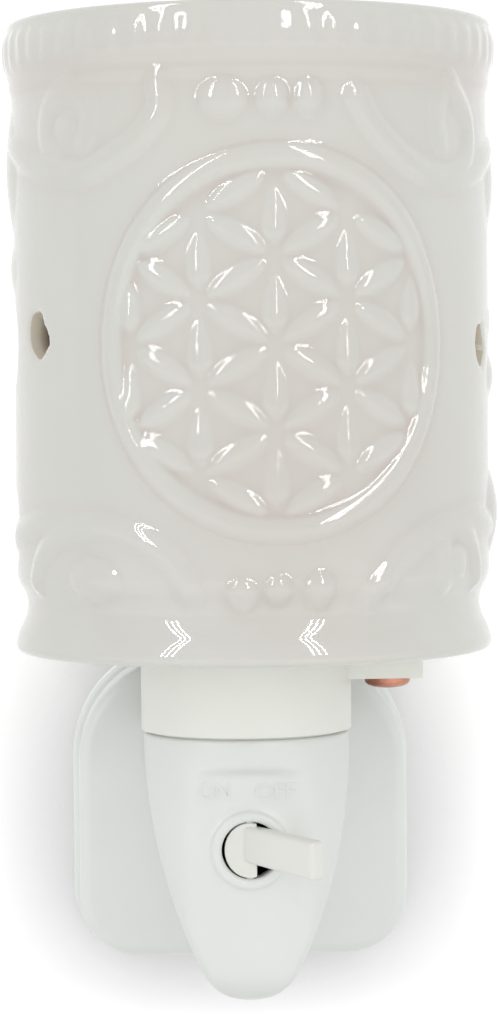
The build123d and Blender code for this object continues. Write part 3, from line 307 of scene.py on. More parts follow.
VENT_SHAPE = [  # across and up, as parts of a vent's half width and half height
    (-0.15, 1.0), (0.3, 0.99), (0.55, 0.56), (1.0, -0.05), (1.0, -0.39), (0.69, -0.7),
    (0.15, -1.0), (-0.42, -0.78), (-0.86, -0.39), (-1.0, 0.12), (-0.78, 0.7), (-0.5, 0.91),
]
VENT_DISH = 0.35  # depth of the rounded edge of a vent
VENT_EDGE = 0.9
VENT_ANGLE, VENT_SIDE, VENT_NEAR = 14.0, 8.0, 9.0  # only cells so near a vent's middle are looked at
BORE_SIDE, BORE_TALL = 1.0, 1.5  # how far past a vent the bore is opened


def ease(x):
    """Smooth step from 0 to 1."""
    x = np.clip(x, 0, 1)
    return x * x * (3 - 2 * x)


def base_radius(z):
    """Radius of the plain wall at a height, eased from one knot of the profile to the next."""
    rise = z - SHADE_BOTTOM
    out = np.full_like(rise, PROFILE[-1][1])
    for (z0, r0), (z1, r1) in zip(PROFILE, PROFILE[1:]):
        inside = (rise >= z0) & (rise <= z1)
        t = (rise[inside] - z0) / (z1 - z0)
        out[inside] = r0 + (r1 - r0) * np.where(t < 0.5, 2 * t**2, 1 - 2 * (1 - t) ** 2)
    return out


def smooth_path(points, steps=8):
    """Catmull-Rom run through points."""
    p = [np.array(q, float) for q in points]
    p = [2 * p[0] - p[1]] + p + [2 * p[-1] - p[-2]]
    out = []
    for a, b, c, d in zip(p, p[1:], p[2:], p[3:]):
        for k in range(steps):
            t = k / steps
            out.append(0.5 * (2 * b + (c - a) * t + (2 * a - 5 * b + 4 * c - d) * t**2
                              + (3 * b - a - 3 * c + d) * t**3))
    return np.array(out + [p[-2]])


def band(u, z, points, wide, rise):
    """Height of a rounded band along a path given in (angle, height)."""
    path = smooth_path(points)
    path = np.stack([path[:, 0] * ARC, path[:, 1]], 1)
    out = np.zeros_like(u)
    lo, hi = path.min(0) - 2 * wide, path.max(0) + 2 * wide
    near = (u > lo[0]) & (u < hi[0]) & (z > lo[1]) & (z < hi[1])
    if not near.any():
        return out
    q = np.stack([u[near], z[near]], 1)
    best = np.full(len(q), 1e9)
    for a, b in zip(path, path[1:]):
        run = b - a
        t = np.clip(((q - a) @ run) / max(run @ run, 1e-9), 0, 1)
        best = np.minimum(best, np.linalg.norm(q - a - t[:, None] * run, axis=1))
    out[near] = rise * np.clip(1 - (best / wide) ** 2, 0, 1) ** 1.3
    return out


def dome(u, z, angle, height, wide, tall, rise, power=0.75):
    """Height of a rounded knob."""
    d = ((u - angle * ARC) / (wide / 2)) ** 2 + ((z - height) / (tall / 2)) ** 2
    return rise * np.clip(1 - d, 0, 1) ** power


def lattice():
    """Middles and tilts of the petals, one on each edge of a triangular grid in a hexagon."""
    step = PITCH * math.sqrt(3) / 2
    spots = []
    for i in range(-2, 3):
        count = 5 - abs(i)
        spots += [(i * step, (j - (count - 1) / 2) * PITCH) for j in range(count)]
    out = []
    for x, y in spots:
        for tilt in (-30, 30, 90):
            end = (x + PITCH * math.cos(math.radians(tilt)), y + PITCH * math.sin(math.radians(tilt)))
            if any(abs(end[0] - a) + abs(end[1] - b) < 1 for a, b in spots):
                out.append(((x + end[0]) / 2, (y + end[1]) / 2, tilt))
    return out


def petal(u, v, x, y, tilt):
    """Height of one petal: upright ones have a ridge that stands out most low down."""
    upright = tilt == 90
    long, wide, blunt, rise = UPRIGHT_PETAL if upright else LEANING_PETAL
    c, s = math.cos(math.radians(tilt)), math.sin(math.radians(tilt))
    along = ((u - x) * c + (v - y) * s) / (long / 2)
    across = np.abs(-(u - x) * s + (v - y) * c)
    low = PETAL_LOW * (1 - along**2) if upright else 0.0  # upright ones are fullest below their middle
    half = wide / 2 * np.clip(1 - np.abs(along + low) ** 2.2, 1e-4, 1)
    crest = np.clip(1 - np.abs(along) ** blunt, 0, 1)
    if upright:
        crest = crest * (PETAL_RIDGE - PETAL_FALL * along)
    side = np.clip(across / half, 0, 1)
    flank = 1 - side**2.2
    if upright:
        flank = PETAL_SHARP * (1 - side) + (1 - PETAL_SHARP) * (1 - side**5)
    return rise * crest * flank * (np.abs(along) < 1)


def medallion(angle, z):
    """Distance from the middle of the medallion, 1 at its outer edge; one in front and one at the back."""
    u = ((angle + 90) % 180 - 90) * ARC
    across, up = (u - MEDALLION_X) / MEDALLION_WIDE, (z - MEDALLION_Z) / MEDALLION_TALL
    return np.sqrt(across**2 + up**2)


def relief(angle, z):
    """Height of the relief over the wall, for arrays of angle in degrees and height in millimetres."""
    a = (angle + 90) % 180 - 90
    u, v = a * ARC, z - MEDALLION_Z
    off = (medallion(angle, z) - 1) * MEDALLION_R + RING_IN
    h = -GROUND_DEPTH * ease((-off - GROUND_START) / GROUND_SLOPE)
    ring = RING_RISE * np.clip(1 - (off / RING_HALF) ** 2, 0, 1) ** 0.8
    field = h.copy()
    for x, y, tilt in lattice():
        near = (np.abs(u - x) < PETAL_REACH) & (np.abs(v - y) < PETAL_REACH)
        field[near] = np.maximum(field[near], h[near] + petal(u[near], v[near], x, y, tilt))
    h = np.maximum(field, ring)
    for title, points in SCROLLS:
        rise = CURL_RISE if "curl" in title else SCROLL_RISE
        for turn in (-180, 0, 180):
            moved = [(p + turn, q) for p, q in points]
            h = np.maximum(h, band(u, z, moved, SCROLL_WIDE, rise))
    for b in BEADS:
        h = np.maximum(h, dome(u, z, *b, BEAD_RISE))
    for d in DISCS:
        h = np.maximum(h, dome(u, z, *d))
    for around, *knob in SIDE_KNOBS + SIDE_DIPS:
        beside = (angle - around + 180) % 360 - 180
        form = dome(beside * ARC, z, 0, *knob, 1.2)
        h = np.maximum(h, form) if knob[-1] > 0 else h + form
    lobe = (angle - LOBE_START) * LOBES / 360
    beat = np.abs(lobe - np.round(lobe)) * 2
    tall = np.abs(z - LOBE_Z) / LOBE_HALF
    return h + LOBE_RISE * (0.5 + 0.5 * np.cos(np.pi * beat)) * np.clip(1 - tall**2, 0, 1)


def soften(h, sigma):
    """Gaussian blur of a height field that closes on itself across its columns."""
    reach = int(3 * sigma) + 1
    k = np.exp(-0.5 * (np.arange(-reach, reach + 1) / sigma) ** 2)
    k /= k.sum()
    wide = np.concatenate([h[:, -reach:], h, h[:, :reach]], 1)
    out = sum(w * wide[:, i:i + h.shape[1]] for i, w in enumerate(k))
    tall = np.concatenate([out[:1].repeat(reach, 0), out, out[-1:].repeat(reach, 0)], 0)
    return sum(w * tall[i:i + h.shape[0]] for i, w in enumerate(k))


def vent_outline(half_wide, half_tall):
    """Outline of a vent, closed."""
    points = VENT_SHAPE[-1:] + VENT_SHAPE + VENT_SHAPE[:2]
    steps = 8
    run = smooth_path(points, steps)[steps:-steps - 1]
    return run * np.array([half_wide, half_tall])


def outline_distance(t, z, half_wide, half_tall):
    """Distance to a vent's outline, less than nothing inside it, with the nearest place on it."""
    poly = vent_outline(half_wide, half_tall)
    q = np.stack([t, z], 1)
    best, spot = np.full(len(q), 1e9), np.zeros_like(q)
    inside = np.zeros(len(q), bool)
    for a, b in zip(poly, np.roll(poly, -1, 0)):
        run = b - a
        k = np.clip(((q - a) @ run) / max(run @ run, 1e-12), 0, 1)
        near = a + k[:, None] * run
        d = np.linalg.norm(q - near, axis=1)
        closer = d < best
        best[closer], spot[closer] = d[closer], near[closer]
        crosses = (a[1] > q[:, 1]) != (b[1] > q[:, 1])
        rise = run[1] if abs(run[1]) > 1e-12 else 1e-12
        inside ^= crosses & (q[:, 0] < a[0] + (q[:, 1] - a[1]) * run[0] / rise)
    return np.where(inside, -best, best), spot


def place(angle, radius, z):
    """Point in metres from an angle in degrees, a radius and a height on the shade."""
    t = np.radians(angle + SHADE_TURN)
    return np.stack([SHADE_SHIFT + radius * np.sin(t), AXIS_Y - radius * np.cos(t), z + 0 * t], -1) * MM


def new_object(name, mesh, body, slot_name, *materials):
    """Piece from a mesh, which rides on a body and takes the given materials; its slot name is not used.
    """
    made = bpy.data.objects.new(name, mesh)
    bpy.context.scene.collection.objects.link(made)
    for m in materials:
        mesh.materials.append(m)
    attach(made, body)
    return made


def shade_mesh():
    """Shade with its relief, bore, floor and vents, and the tones that its glaze reads."""
    turn = np.arange(COLUMNS) * 360 / COLUMNS - 180
    quarter = np.linspace(0, math.pi / 2, 7)
    foot = [(FOOT_R - FOOT_EDGE + FOOT_EDGE * math.sin(q), SHADE_BOTTOM + FOOT_EDGE * (1 - math.cos(q)))
            for q in quarter[:-1]]
    levels = np.arange(SHADE_BOTTOM + FOOT_EDGE, SHADE_TOP - LIP_EDGE, ROW_STEP)
    lip = [(LIP_R - LIP_EDGE + LIP_EDGE * math.cos(q), SHADE_TOP - LIP_EDGE + LIP_EDGE * math.sin(q))
           for q in quarter]
    angle, z = np.meshgrid(turn, levels)
    h = soften(relief(angle, z), SOFTEN)
    # Painted shade in the relief's hollows, partly glaze pooled there, fullest within the medallion
    pool_and_shade = np.where(medallion(angle, z) < POOL_SHADE_EDGE, 1.0, POOL_SHADE_OUTSIDE)
    hollow = np.clip(soften(h, SPREAD) - h, 0, None) * pool_and_shade
    fade = ease((z - levels[0]) / FADE) * ease((levels[-1] - z) / FADE)
    # Slight waves of the cast wall
    uneven = 0.07 * np.sin(np.radians(3 * angle + 40)) * np.sin(z / 17)
    uneven = uneven + 0.05 * np.sin(np.radians(7 * angle) + z / 9)
    radius = np.minimum(base_radius(z) + (h + uneven) * fade, REACH_R)
    for vent_angle, vent_z, *vent_size in VENTS:
        gap = (angle - vent_angle + 180) % 360 - 180
        near = (np.abs(gap) < VENT_ANGLE) & (np.abs(z - vent_z) < VENT_NEAR)
        d, _ = outline_distance(SHADE_R * np.sin(np.radians(gap[near])), z[near] - vent_z, *vent_size)
        radius[near] -= VENT_DISH * np.clip(1 - np.clip(d, 0, None) / VENT_EDGE, 0, 1) ** 2
    foot_r, lip_r = ([np.full(COLUMNS, r) for r, _ in edge] for edge in (foot, lip))
    rings_r = foot_r + list(radius) + lip_r
    rings_z = [z0 for _, z0 in foot] + list(levels) + [z0 for _, z0 in lip]
    first = len(foot)
    verts = np.concatenate([place(turn, r, z0) for r, z0 in zip(rings_r, rings_z)])
    depth, warmth_and_shade = np.zeros(len(verts)), np.zeros(len(verts))
    wall = slice(first * COLUMNS, (first + len(levels)) * COLUMNS)
    depth[wall] = hollow.ravel()
    side = (angle + 90) % 180 - 90
    middle = np.exp(-((side - BLUSH_ANGLE) / BLUSH_WIDE) ** 2 - ((z - BLUSH_Z) / BLUSH_TALL) ** 2)
    # Painted shade in the cove below the rim, as a warmer tone
    rim_shade = np.exp(-((z - COVE_Z) / RIM_SHADE_TALL) ** 2)
    warmth_and_shade[wall] = np.maximum(middle, rim_shade).ravel()
    faces = []
    for i in range(len(rings_z) - 1):
        a, b = i * COLUMNS, (i + 1) * COLUMNS
        faces += [(a + j, a + (j + 1) % COLUMNS, b + (j + 1) % COLUMNS, b + j) for j in range(COLUMNS)]
    # Inside: lip, seat, ledge, bore, floor and its hole, with fewer columns
    coarse = COLUMNS // MERGE
    walls = np.linspace(LEDGE_Z, FLOOR_TOP, BORE_RINGS)
    inner = [(SEAT_R, SHADE_TOP), (SEAT_R, LEDGE_Z)] + [(BORE_R, w) for w in walls]
    inner += [(FLOOR_HOLE_R, FLOOR_TOP), (FLOOR_HOLE_R, SHADE_BOTTOM)]
    start = len(verts)
    verts = np.concatenate([verts] + [place(turn[::MERGE], np.full(coarse, r), z0) for r, z0 in inner])
    glazed_rings = (0, 1, len(inner) - 1)
    # Painted shade inside: 1 turns the bore brown, 0 at the glazed rings
    inner_shade = np.repeat([0.0 if i in glazed_rings else 1.0 for i in range(len(inner))], coarse)
    depth, warmth_and_shade = np.concatenate([depth, inner_shade]), np.concatenate([warmth_and_shade, 0 * inner_shade])
    plain = len(faces)
    top = (len(rings_z) - 1) * COLUMNS
    last = start + (len(inner) - 1) * coarse
    for j in range(coarse):
        k = (j + 1) % coarse
        fine = [(j * MERGE + m) % COLUMNS for m in range(MERGE + 1)]
        faces.append(tuple(top + f for f in fine) + (start + k, start + j))
        faces.append((last + j, last + k) + tuple(f for f in reversed(fine)))
        for i in range(len(inner) - 1):
            a, b = start + i * coarse, start + (i + 1) * coarse
            faces.append((a + j, a + k, b + k, b + j))
    mesh = bpy.data.meshes.new("shade")
    mesh.from_pydata(verts.tolist(), [], faces)
    bm = bmesh.new()
    bm.from_mesh(mesh)
    bm.verts.ensure_lookup_table()
    for title, values in (("hollow", depth), ("warmth_and_shade", warmth_and_shade)):
        layer = bm.verts.layers.float.new(title)
        for vert, value in zip(bm.verts, values.tolist()):
            vert[layer] = value
    for index, face in enumerate(bm.faces):
        face.smooth = True
        face.material_index = 1 if index >= plain and (index - plain) % (len(inner) + 1) >= 2 else 0
    for vent in VENTS:
        cut_vent(bm, *vent)
    bmesh.ops.delete(bm, geom=[v for v in bm.verts if not v.link_faces], context="VERTS")
    bmesh.ops.recalc_face_normals(bm, faces=bm.faces)
    bm.to_mesh(mesh)
    bm.free()
    mesh.set_sharp_from_angle(angle=math.radians(50))
    return mesh


def cut_vent(bm, vent_angle, vent_z, half_wide, half_tall):
    """Opens a vent: cells of the wall go, their edge moves to the outline, a tunnel joins the bore."""
    around = math.radians(vent_angle + SHADE_TURN)
    out = np.array([math.sin(around), -math.cos(around)])
    along = np.array([math.cos(around), math.sin(around)])

    def local(co):
        p = np.array([co.x / MM - SHADE_SHIFT, co.y / MM - AXIS_Y])
        return p @ along, co.z / MM - vent_z, p @ out

    outer, bore = [], []
    for face in bm.faces:
        c = face.calc_center_median()
        t, z, deep = local(c)
        if deep < 0 or abs(t) > VENT_SIDE or abs(z) > VENT_NEAR:
            continue
        if math.hypot(t, deep) > (BORE_R + SHADE_R) / 2:
            outer.append((face, t, z))
        elif abs(face.normal.z) < 0.5:
            bore.append((face, t, z))
    size = (half_wide, half_tall)
    d, _ = outline_distance(np.array([o[1] for o in outer]), np.array([o[2] for o in outer]), *size)
    gone = [o[0] for o, dist in zip(outer, d) if dist < 0]
    block = [f for f, t, z in bore if abs(t) < half_wide + BORE_SIDE and abs(z) < half_tall + BORE_TALL]
    gone_set, block_set = set(gone), set(block)
    rim = [e for f in gone for e in f.edges if any(g not in gone_set for g in e.link_faces)]
    hole = [e for f in block for e in f.edges if any(g not in block_set for g in e.link_faces)]
    rim_pairs = [tuple(e.verts) for e in dict.fromkeys(rim)]
    hole_edges = list(dict.fromkeys(hole))
    spots = {}
    order = list(dict.fromkeys(v for pair in rim_pairs for v in pair))
    where = [local(v.co) for v in order]
    _, near = outline_distance(np.array([w[0] for w in where]), np.array([w[1] for w in where]), *size)
    inner_shade = bm.verts.layers.float["hollow"]
    for v, w, n in zip(order, where, near):
        radius = math.hypot(w[0], w[2])
        for vert_radius, target in ((radius, v), (BORE_R, None)):
            flat = along * n[0] + out * math.sqrt(max(vert_radius**2 - n[0] ** 2, 0))
            co = Vector(((flat[0] + SHADE_SHIFT) * MM, (flat[1] + AXIS_Y) * MM, (vent_z + n[1]) * MM))
            if target is not None:
                target.co = co
            else:
                spots[v] = bm.verts.new(co)
                # Painted shade in full where a vent's tunnel meets the bore
                spots[v][inner_shade] = 1.0
    bmesh.ops.delete(bm, geom=list(gone_set | block_set), context="FACES_ONLY")
    inner_edges = []
    for a, b in rim_pairs:
        wall = bm.faces.new((a, b, spots[b], spots[a]))
        wall.smooth, wall.material_index = True, 1
        inner_edges.append(bm.edges.get((spots[a], spots[b])))
    hole_edges = [e for e in hole_edges if e.is_valid]
    made = bmesh.ops.bridge_loops(bm, edges=inner_edges + hole_edges)
    for face in made["faces"]:
        face.smooth, face.material_index = True, 1
    loose = [e for e in bm.edges if not e.link_faces]
    bmesh.ops.delete(bm, geom=loose, context="EDGES")


shade = new_object("shade", shade_mesh(), "base", "glazed_ceramic", CERAMIC, INSIDE)
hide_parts("ceramic_shade")


# Finishes of the CAD pieces

HOUSING = moulded("housing_plastic", srgb(234, 236, 233), srgb(231, 233, 230), 0.37)
# Painted light: plate and collar are the housing's white plastic, painted lighter against the shade that
# falls on them
PLATE = moulded("plate_plastic", srgb(239, 242, 239), srgb(236, 239, 236), 0.38)
COLLAR = moulded("collar_plastic", srgb(242, 243, 236), srgb(239, 240, 233), 0.37)
LEVER = moulded("lever_plastic", srgb(236, 237, 231), srgb(233, 234, 228), 0.37)
HOLDER = moulded("holder_plastic", srgb(225, 224, 219), srgb(214, 213, 208), 0.45)
BLACK = moulded("sleeve_plastic", srgb(28, 28, 30), srgb(40, 40, 42), 0.5)
BROWN = moulded("brown_cover", srgb(96, 56, 34), srgb(82, 46, 28), 0.4)
BLUE = moulded("blue_cover", srgb(42, 84, 150), srgb(34, 70, 128), 0.4)
DARK_GLASS = moulded("dark_glass", srgb(30, 24, 36), srgb(44, 36, 50), 0.1)
FUSE = moulded("fuse_ceramic", srgb(214, 200, 172), srgb(200, 184, 154), 0.4)
COPPER = metal("copper", srgb(202, 146, 124), srgb(138, 88, 72), 0.26, (6, 6, 1))
BRASS = metal("brass", srgb(208, 174, 104), srgb(178, 140, 78), 0.26)
SHEET = metal("brass_sheet", srgb(204, 172, 110), srgb(172, 138, 84), 0.3, (1, 14, 1))
STEEL = metal("zinc_steel", srgb(192, 194, 198), srgb(158, 160, 166), 0.3, (8, 8, 1))
NICKEL = metal("nickel", srgb(206, 204, 198), srgb(172, 170, 164), 0.22, (1, 1, 16))
SOLDER = metal("solder", srgb(176, 178, 182), srgb(140, 142, 148), 0.4, (1, 1, 1))
FILAMENT = metal("lamp_wire", srgb(120, 118, 116), srgb(92, 90, 90), 0.4)


def lamp_glass():
    """Clear glass with slight waves."""
    s = Shader("lamp_glass", 0.02, Transmission_Weight=1.0, IOR=1.45)
    s.colour(s.mix(s.ramp(s.noise(40, 2), 0.3, 0.7), (0.97, 0.98, 0.97, 1), (0.93, 0.95, 0.94, 1)))
    s.bump(s.noise(80, 2), 0.03, 0.0002)
    return s.material


FINISH = {
    "wax_dish": DISH, "bulb_glass": lamp_glass(), "bulb_stem": HOLDER, "bulb_filament": FILAMENT,
    "bulb_cap": NICKEL, "bulb_insulator": DARK_GLASS, "bulb_contact": SOLDER, "lampholder_body": HOLDER,
    "lampholder_shell": SHEET, "lampholder_contact": SHEET, "holder_screws": STEEL, "shade_ring": HOLDER,
    "neck_collar": COLLAR, "ear_screw": COPPER, "ear_nut": STEEL, "switch_housing": HOUSING,
    "toggle_lever": LEVER, "toggle_pin": STEEL, "contact_arm": SHEET, "switch_contacts": SHEET,
    "front_plate": PLATE, "rear_cover": PLATE, "cover_screws": STEEL, "housing_screws": STEEL,
    "live_pin": BRASS, "neutral_pin": BRASS, "earth_pin": BRASS, "pin_sleeves": BLACK, "fuse_tube": FUSE,
    "fuse_caps": NICKEL, "fuse_clips": SHEET, "live_wire": BROWN, "switched_wire": BROWN,
    "neutral_wire": BLUE,
}
for name, material in FINISH.items():
    data = nodes[name].data
    data.materials.clear()
    data.materials.append(material)


# Switch housing with its moulded edges rounded, the ring round the lever, the lever and the copper screw

PANEL_DEPTH = 57.8
SWITCH_Z = -2.1
PIVOT_DEPTH = 57.6
THROW = 42.0  # degrees from the front to the lever at OFF


def softened(name, node, voxel, rounds, share):
    """Copy of a CAD piece with its edges rounded; share gives how far each point gives way."""
    source = nodes[node]
    copy = bpy.data.objects.new(name, source.data.copy())
    bpy.context.scene.collection.objects.link(copy)
    skin = copy.modifiers.new("skin", "REMESH")
    skin.mode, skin.voxel_size = "VOXEL", voxel * MM
    graph = bpy.context.evaluated_depsgraph_get()
    mesh = bpy.data.meshes.new_from_object(copy.evaluated_get(graph))
    bpy.data.objects.remove(copy)
    mesh.transform(source.matrix_world)
    count = len(mesh.vertices)
    co, ends = np.zeros(count * 3), np.zeros(len(mesh.edges) * 2, int)
    mesh.vertices.foreach_get("co", co)
    mesh.edges.foreach_get("vertices", ends)
    co, (a, b) = co.reshape(-1, 3), ends.reshape(-1, 2).T
    linked = np.bincount(a, minlength=count) + np.bincount(b, minlength=count)
    give = share(co / MM)
    for _ in range(rounds):
        sums = [np.bincount(a, co[b, k], count) + np.bincount(b, co[a, k], count) for k in range(3)]
        co += give[:, None] * (np.stack(sums, 1) / linked[:, None] - co)
    mesh.vertices.foreach_set("co", co.ravel())
    mesh.materials.clear()
    mesh.polygons.foreach_set("use_smooth", np.ones(len(mesh.polygons), bool))
    mesh.update()
    return mesh


def housing_share(p):
    """Most on the front face, little by the seam at the top, at the back and in the switch hole."""
    back, seam, hole_r, step = 24, 14.6, 5.6, 1.2
    ledge_side, ledge_low = 5.5, 8
    least, more, held = 0.12, 0.4, 0.75
    front = ease((-p[:, 1] - back) / 6) * ease((seam - p[:, 2]) / step)
    hole = ease((np.hypot(p[:, 0], p[:, 2] - SWITCH_Z) - hole_r) / step)
    ledge = ease((np.abs(p[:, 0]) - ledge_side) / 2.5) * ease((p[:, 2] - ledge_low) / step)
    return least + more * front * hole * (1 - held * ledge)


def turned_mesh(name, outline, centre, upright, steps=72):
    """Closed ring or rod from an outline of radius and distance along the axis, in millimetres."""
    verts, faces, n = [], [], len(outline)
    for i in range(steps):
        t = 2 * math.pi * i / steps
        for r, d in outline:
            x, y = centre[0] + r * math.cos(t), centre[1] + r * math.sin(t)
            verts.append(Vector((x, y, d) if upright else (x, -d, y)) * MM)
    for i in range(steps):
        for k in range(n):
            a, b = i * n, (i + 1) % steps * n
            faces.append((a + k, b + k, b + (k + 1) % n, a + (k + 1) % n))
    mesh = bpy.data.meshes.new(name)
    mesh.from_pydata(verts, [], faces)
    bm = bmesh.new()
    bm.from_mesh(mesh)
    bmesh.ops.remove_doubles(bm, verts=bm.verts, dist=1e-7)
    bmesh.ops.dissolve_degenerate(bm, edges=bm.edges, dist=1e-8)
    bmesh.ops.recalc_face_normals(bm, faces=bm.faces)
    for face in bm.faces:
        face.smooth = True
    bm.to_mesh(mesh)
    bm.free()
    mesh.set_sharp_from_angle(angle=math.radians(40))
    return mesh


def lever_mesh():
    """Ball cut flat either side of the lever, and the flat lever that widens to its end."""
    ball, ball_tall, edge = 4.1, 4.45, 0.75
    flat, start, long, thick = 1.0, -0.4, 15.4, 3.0
    root, end, lift, droop = 5.7, 6.1, 1.0, 1.3
    bm = bmesh.new()
    bmesh.ops.create_uvsphere(bm, u_segments=56, v_segments=36, radius=1.0)
    for v in bm.verts:
        v.co = Vector((v.co.x * ball, v.co.y * ball, v.co.z * ball_tall))
    for side in (-1, 1):
        normal = Vector((side * math.cos(math.radians(THROW)), -math.sin(math.radians(THROW)), 0))
        whole = bm.verts[:] + bm.edges[:] + bm.faces[:]
        cut = bmesh.ops.bisect_plane(
            bm, geom=whole, plane_co=normal * flat, plane_no=normal, clear_outer=True)["geom_cut"]
        bmesh.ops.holes_fill(bm, edges=[e for e in cut if isinstance(e, bmesh.types.BMEdge)], sides=0)
    box = bmesh.ops.create_cube(bm, size=1.0)["verts"]
    for v in box:
        far = v.co.y < 0
        tall = end if far else root
        up = lift - (droop if far else 0)
        v.co = Vector((v.co.x * thick, -long if far else -start, v.co.z * tall + up))
    edges = list(dict.fromkeys(e for v in box for e in v.link_edges))
    bmesh.ops.bevel(bm, geom=edges, offset=edge, segments=4, profile=0.5, affect="EDGES")
    pivot = Matrix.Translation((0, -PIVOT_DEPTH, SWITCH_Z))
    swing = Matrix.Rotation(math.radians(THROW), 4, "Z")
    bmesh.ops.transform(bm, matrix=Matrix.Scale(MM, 4) @ (pivot @ swing), verts=bm.verts)
    bmesh.ops.recalc_face_normals(bm, faces=bm.faces)
    for face in bm.faces:
        face.smooth = True
    mesh = bpy.data.meshes.new("lever")
    bm.to_mesh(mesh)
    bm.free()
    mesh.set_sharp_from_angle(angle=math.radians(32))
    return mesh


VOXEL, ROUNDS = 0.42, 36  # size of the new skin's cells, and rounds of smoothing
housing_mesh = softened("housing", "switch_housing", VOXEL, ROUNDS, housing_share)
housing = new_object("housing", housing_mesh, "base", "white_plastic", HOUSING)
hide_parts("switch_housing")
RING_LINE = [  # radius and distance from the wall
    (6.6, 57.5), (6.42, 58.2), (6.2, 58.75), (5.85, 59.05), (5.4, 59.15), (5.0, 59.1),
    (4.72, 58.9), (4.57, 58.5), (4.55, 58.0), (4.55, 55.5), (6.0, 55.5), (6.0, 57.0),
]
ring_mesh = turned_mesh("switch_ring", RING_LINE, (0, SWITCH_Z), False)
new_object("switch_ring", ring_mesh, "base", "white_plastic", HOUSING)
lever = new_object("lever", lever_mesh(), "toggle", "white_plastic", LEVER)
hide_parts("toggle_lever")
SCREW_LINE = [  # radius and height
    (0, 22.1), (1.5, 22.16), (2.5, 22.33), (3.2, 22.6), (3.58, 22.95), (3.72, 23.35), (3.72, 24.0),
    (1.95, 24.0), (1.95, 38.6), (1.5, 39.1), (0, 39.1),
]
SCREW_SPOT = (23.1, AXIS_Y + 1.39)
screw = new_object("screw", turned_mesh("screw", SCREW_LINE, SCREW_SPOT, True), "base", "copper", COPPER)
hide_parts("ear_screw")


# Lettering of the switch, moulded on the panel

def lettering(name, text, left, low, tall, wide):
    """Raised word from its left and low edge on the panel, drawn to a height and width."""
    data = bpy.data.curves.new(name, "FONT")
    data.body = text
    data.size = 1.0
    data.resolution_u = 4
    made = bpy.data.objects.new(name, data)
    bpy.context.scene.collection.objects.link(made)
    bpy.context.view_layer.update()
    mesh = bpy.data.meshes.new_from_object(made)
    bpy.data.objects.remove(made)
    co = np.array([v.co for v in mesh.vertices])
    lo, hi = co.min(0), co.max(0)
    bm = bmesh.new()
    bm.from_mesh(mesh)
    bmesh.ops.remove_doubles(bm, verts=bm.verts, dist=1e-5)
    bmesh.ops.solidify(bm, geom=bm.faces, thickness=0.1)
    rise, sink = 0.22, 0.3
    depth = [v.co.z for v in bm.verts]
    zl, zh = min(depth), max(depth)
    for v in bm.verts:
        x = left + (v.co.x - lo[0]) / (hi[0] - lo[0]) * wide
        z = low + (v.co.y - lo[1]) / (hi[1] - lo[1]) * tall
        y = -PANEL_DEPTH + sink - (v.co.z - zl) / (zh - zl) * (rise + sink)
        v.co = Vector((x, y, z)) * MM
    bmesh.ops.recalc_face_normals(bm, faces=bm.faces)
    bm.to_mesh(mesh)
    bm.free()
    return new_object(name, mesh, "base", "white_plastic", HOUSING)


LETTER_TALL = 2.8
lettering("letters_on", "ON", -8.1, 5.95, LETTER_TALL, 4.9)
lettering("letters_off", "OFF", 0.9, 5.8, LETTER_TALL, 6.3)


# Stage, world and lamps; lengths in metres

def math_node(tree, operation, a, b):
    """Output of a Math node for one linked value and a second that is linked or a number."""
    step = tree.nodes.new("ShaderNodeMath")
    step.operation = operation
    tree.links.new(a, step.inputs[0])
    if hasattr(b, "is_output"):
        tree.links.new(b, step.inputs[1])
    else:
        step.inputs[1].default_value = b
    return step.outputs[0]


def background_ray(tree):
    """1 for rays that show the background: from the camera, off metal and glaze, or through glass."""
    path = tree.nodes.new("ShaderNodeLightPath")
    last = path.outputs["Is Camera Ray"]
    for kind in ("Is Glossy Ray", "Is Transmission Ray"):
        last = math_node(tree, "MAXIMUM", last, path.outputs[kind])
    return last


def let_through(tree):
    """1 from behind, and for light from close by, so that the object's back isn't dark in other views."""
    side = tree.nodes.new("ShaderNodeNewGeometry")
    path = tree.nodes.new("ShaderNodeLightPath")
    last = path.outputs["Ray Length"]
    steps = (("LESS_THAN", BACK_REACH), ("SUBTRACT", path.outputs["Is Camera Ray"]),
             ("MAXIMUM", side.outputs["Backfacing"]))
    for operation, value in steps:
        last = math_node(tree, operation, last, value)
    return last


def stage_material(name, colour):
    """Pale matt surface that glows where the background shows, with a painted shadow that dims the glow
    close to the object.
    """
    m = bpy.data.materials.new(name)
    m.use_nodes = True
    t = m.node_tree
    t.nodes.clear()
    out = t.nodes.new("ShaderNodeOutputMaterial")
    diffuse = t.nodes.new("ShaderNodeBsdfDiffuse")
    diffuse.inputs["Color"].default_value = colour
    glow = t.nodes.new("ShaderNodeEmission")
    shadow = t.nodes.new("ShaderNodeAmbientOcclusion")
    shadow.samples = 8
    shadow.inputs["Distance"].default_value = SHADOW_REACH
    last = shadow.outputs["AO"]
    steps = (("POWER", SHADOW_DEPTH), ("MULTIPLY", STAGE_GLOW), ("MULTIPLY", background_ray(t)))
    for operation, value in steps:
        last = math_node(t, operation, last, value)
    t.links.new(last, glow.inputs["Strength"])
    both = t.nodes.new("ShaderNodeAddShader")
    t.links.new(diffuse.outputs[0], both.inputs[0])
    t.links.new(glow.outputs[0], both.inputs[1])
    clear = t.nodes.new("ShaderNodeBsdfTransparent")
    mix = t.nodes.new("ShaderNodeMixShader")
    t.links.new(let_through(t), mix.inputs[0])
    t.links.new(both.outputs[0], mix.inputs[1])
    t.links.new(clear.outputs[0], mix.inputs[2])
    t.links.new(mix.outputs[0], out.inputs["Surface"])
    return m


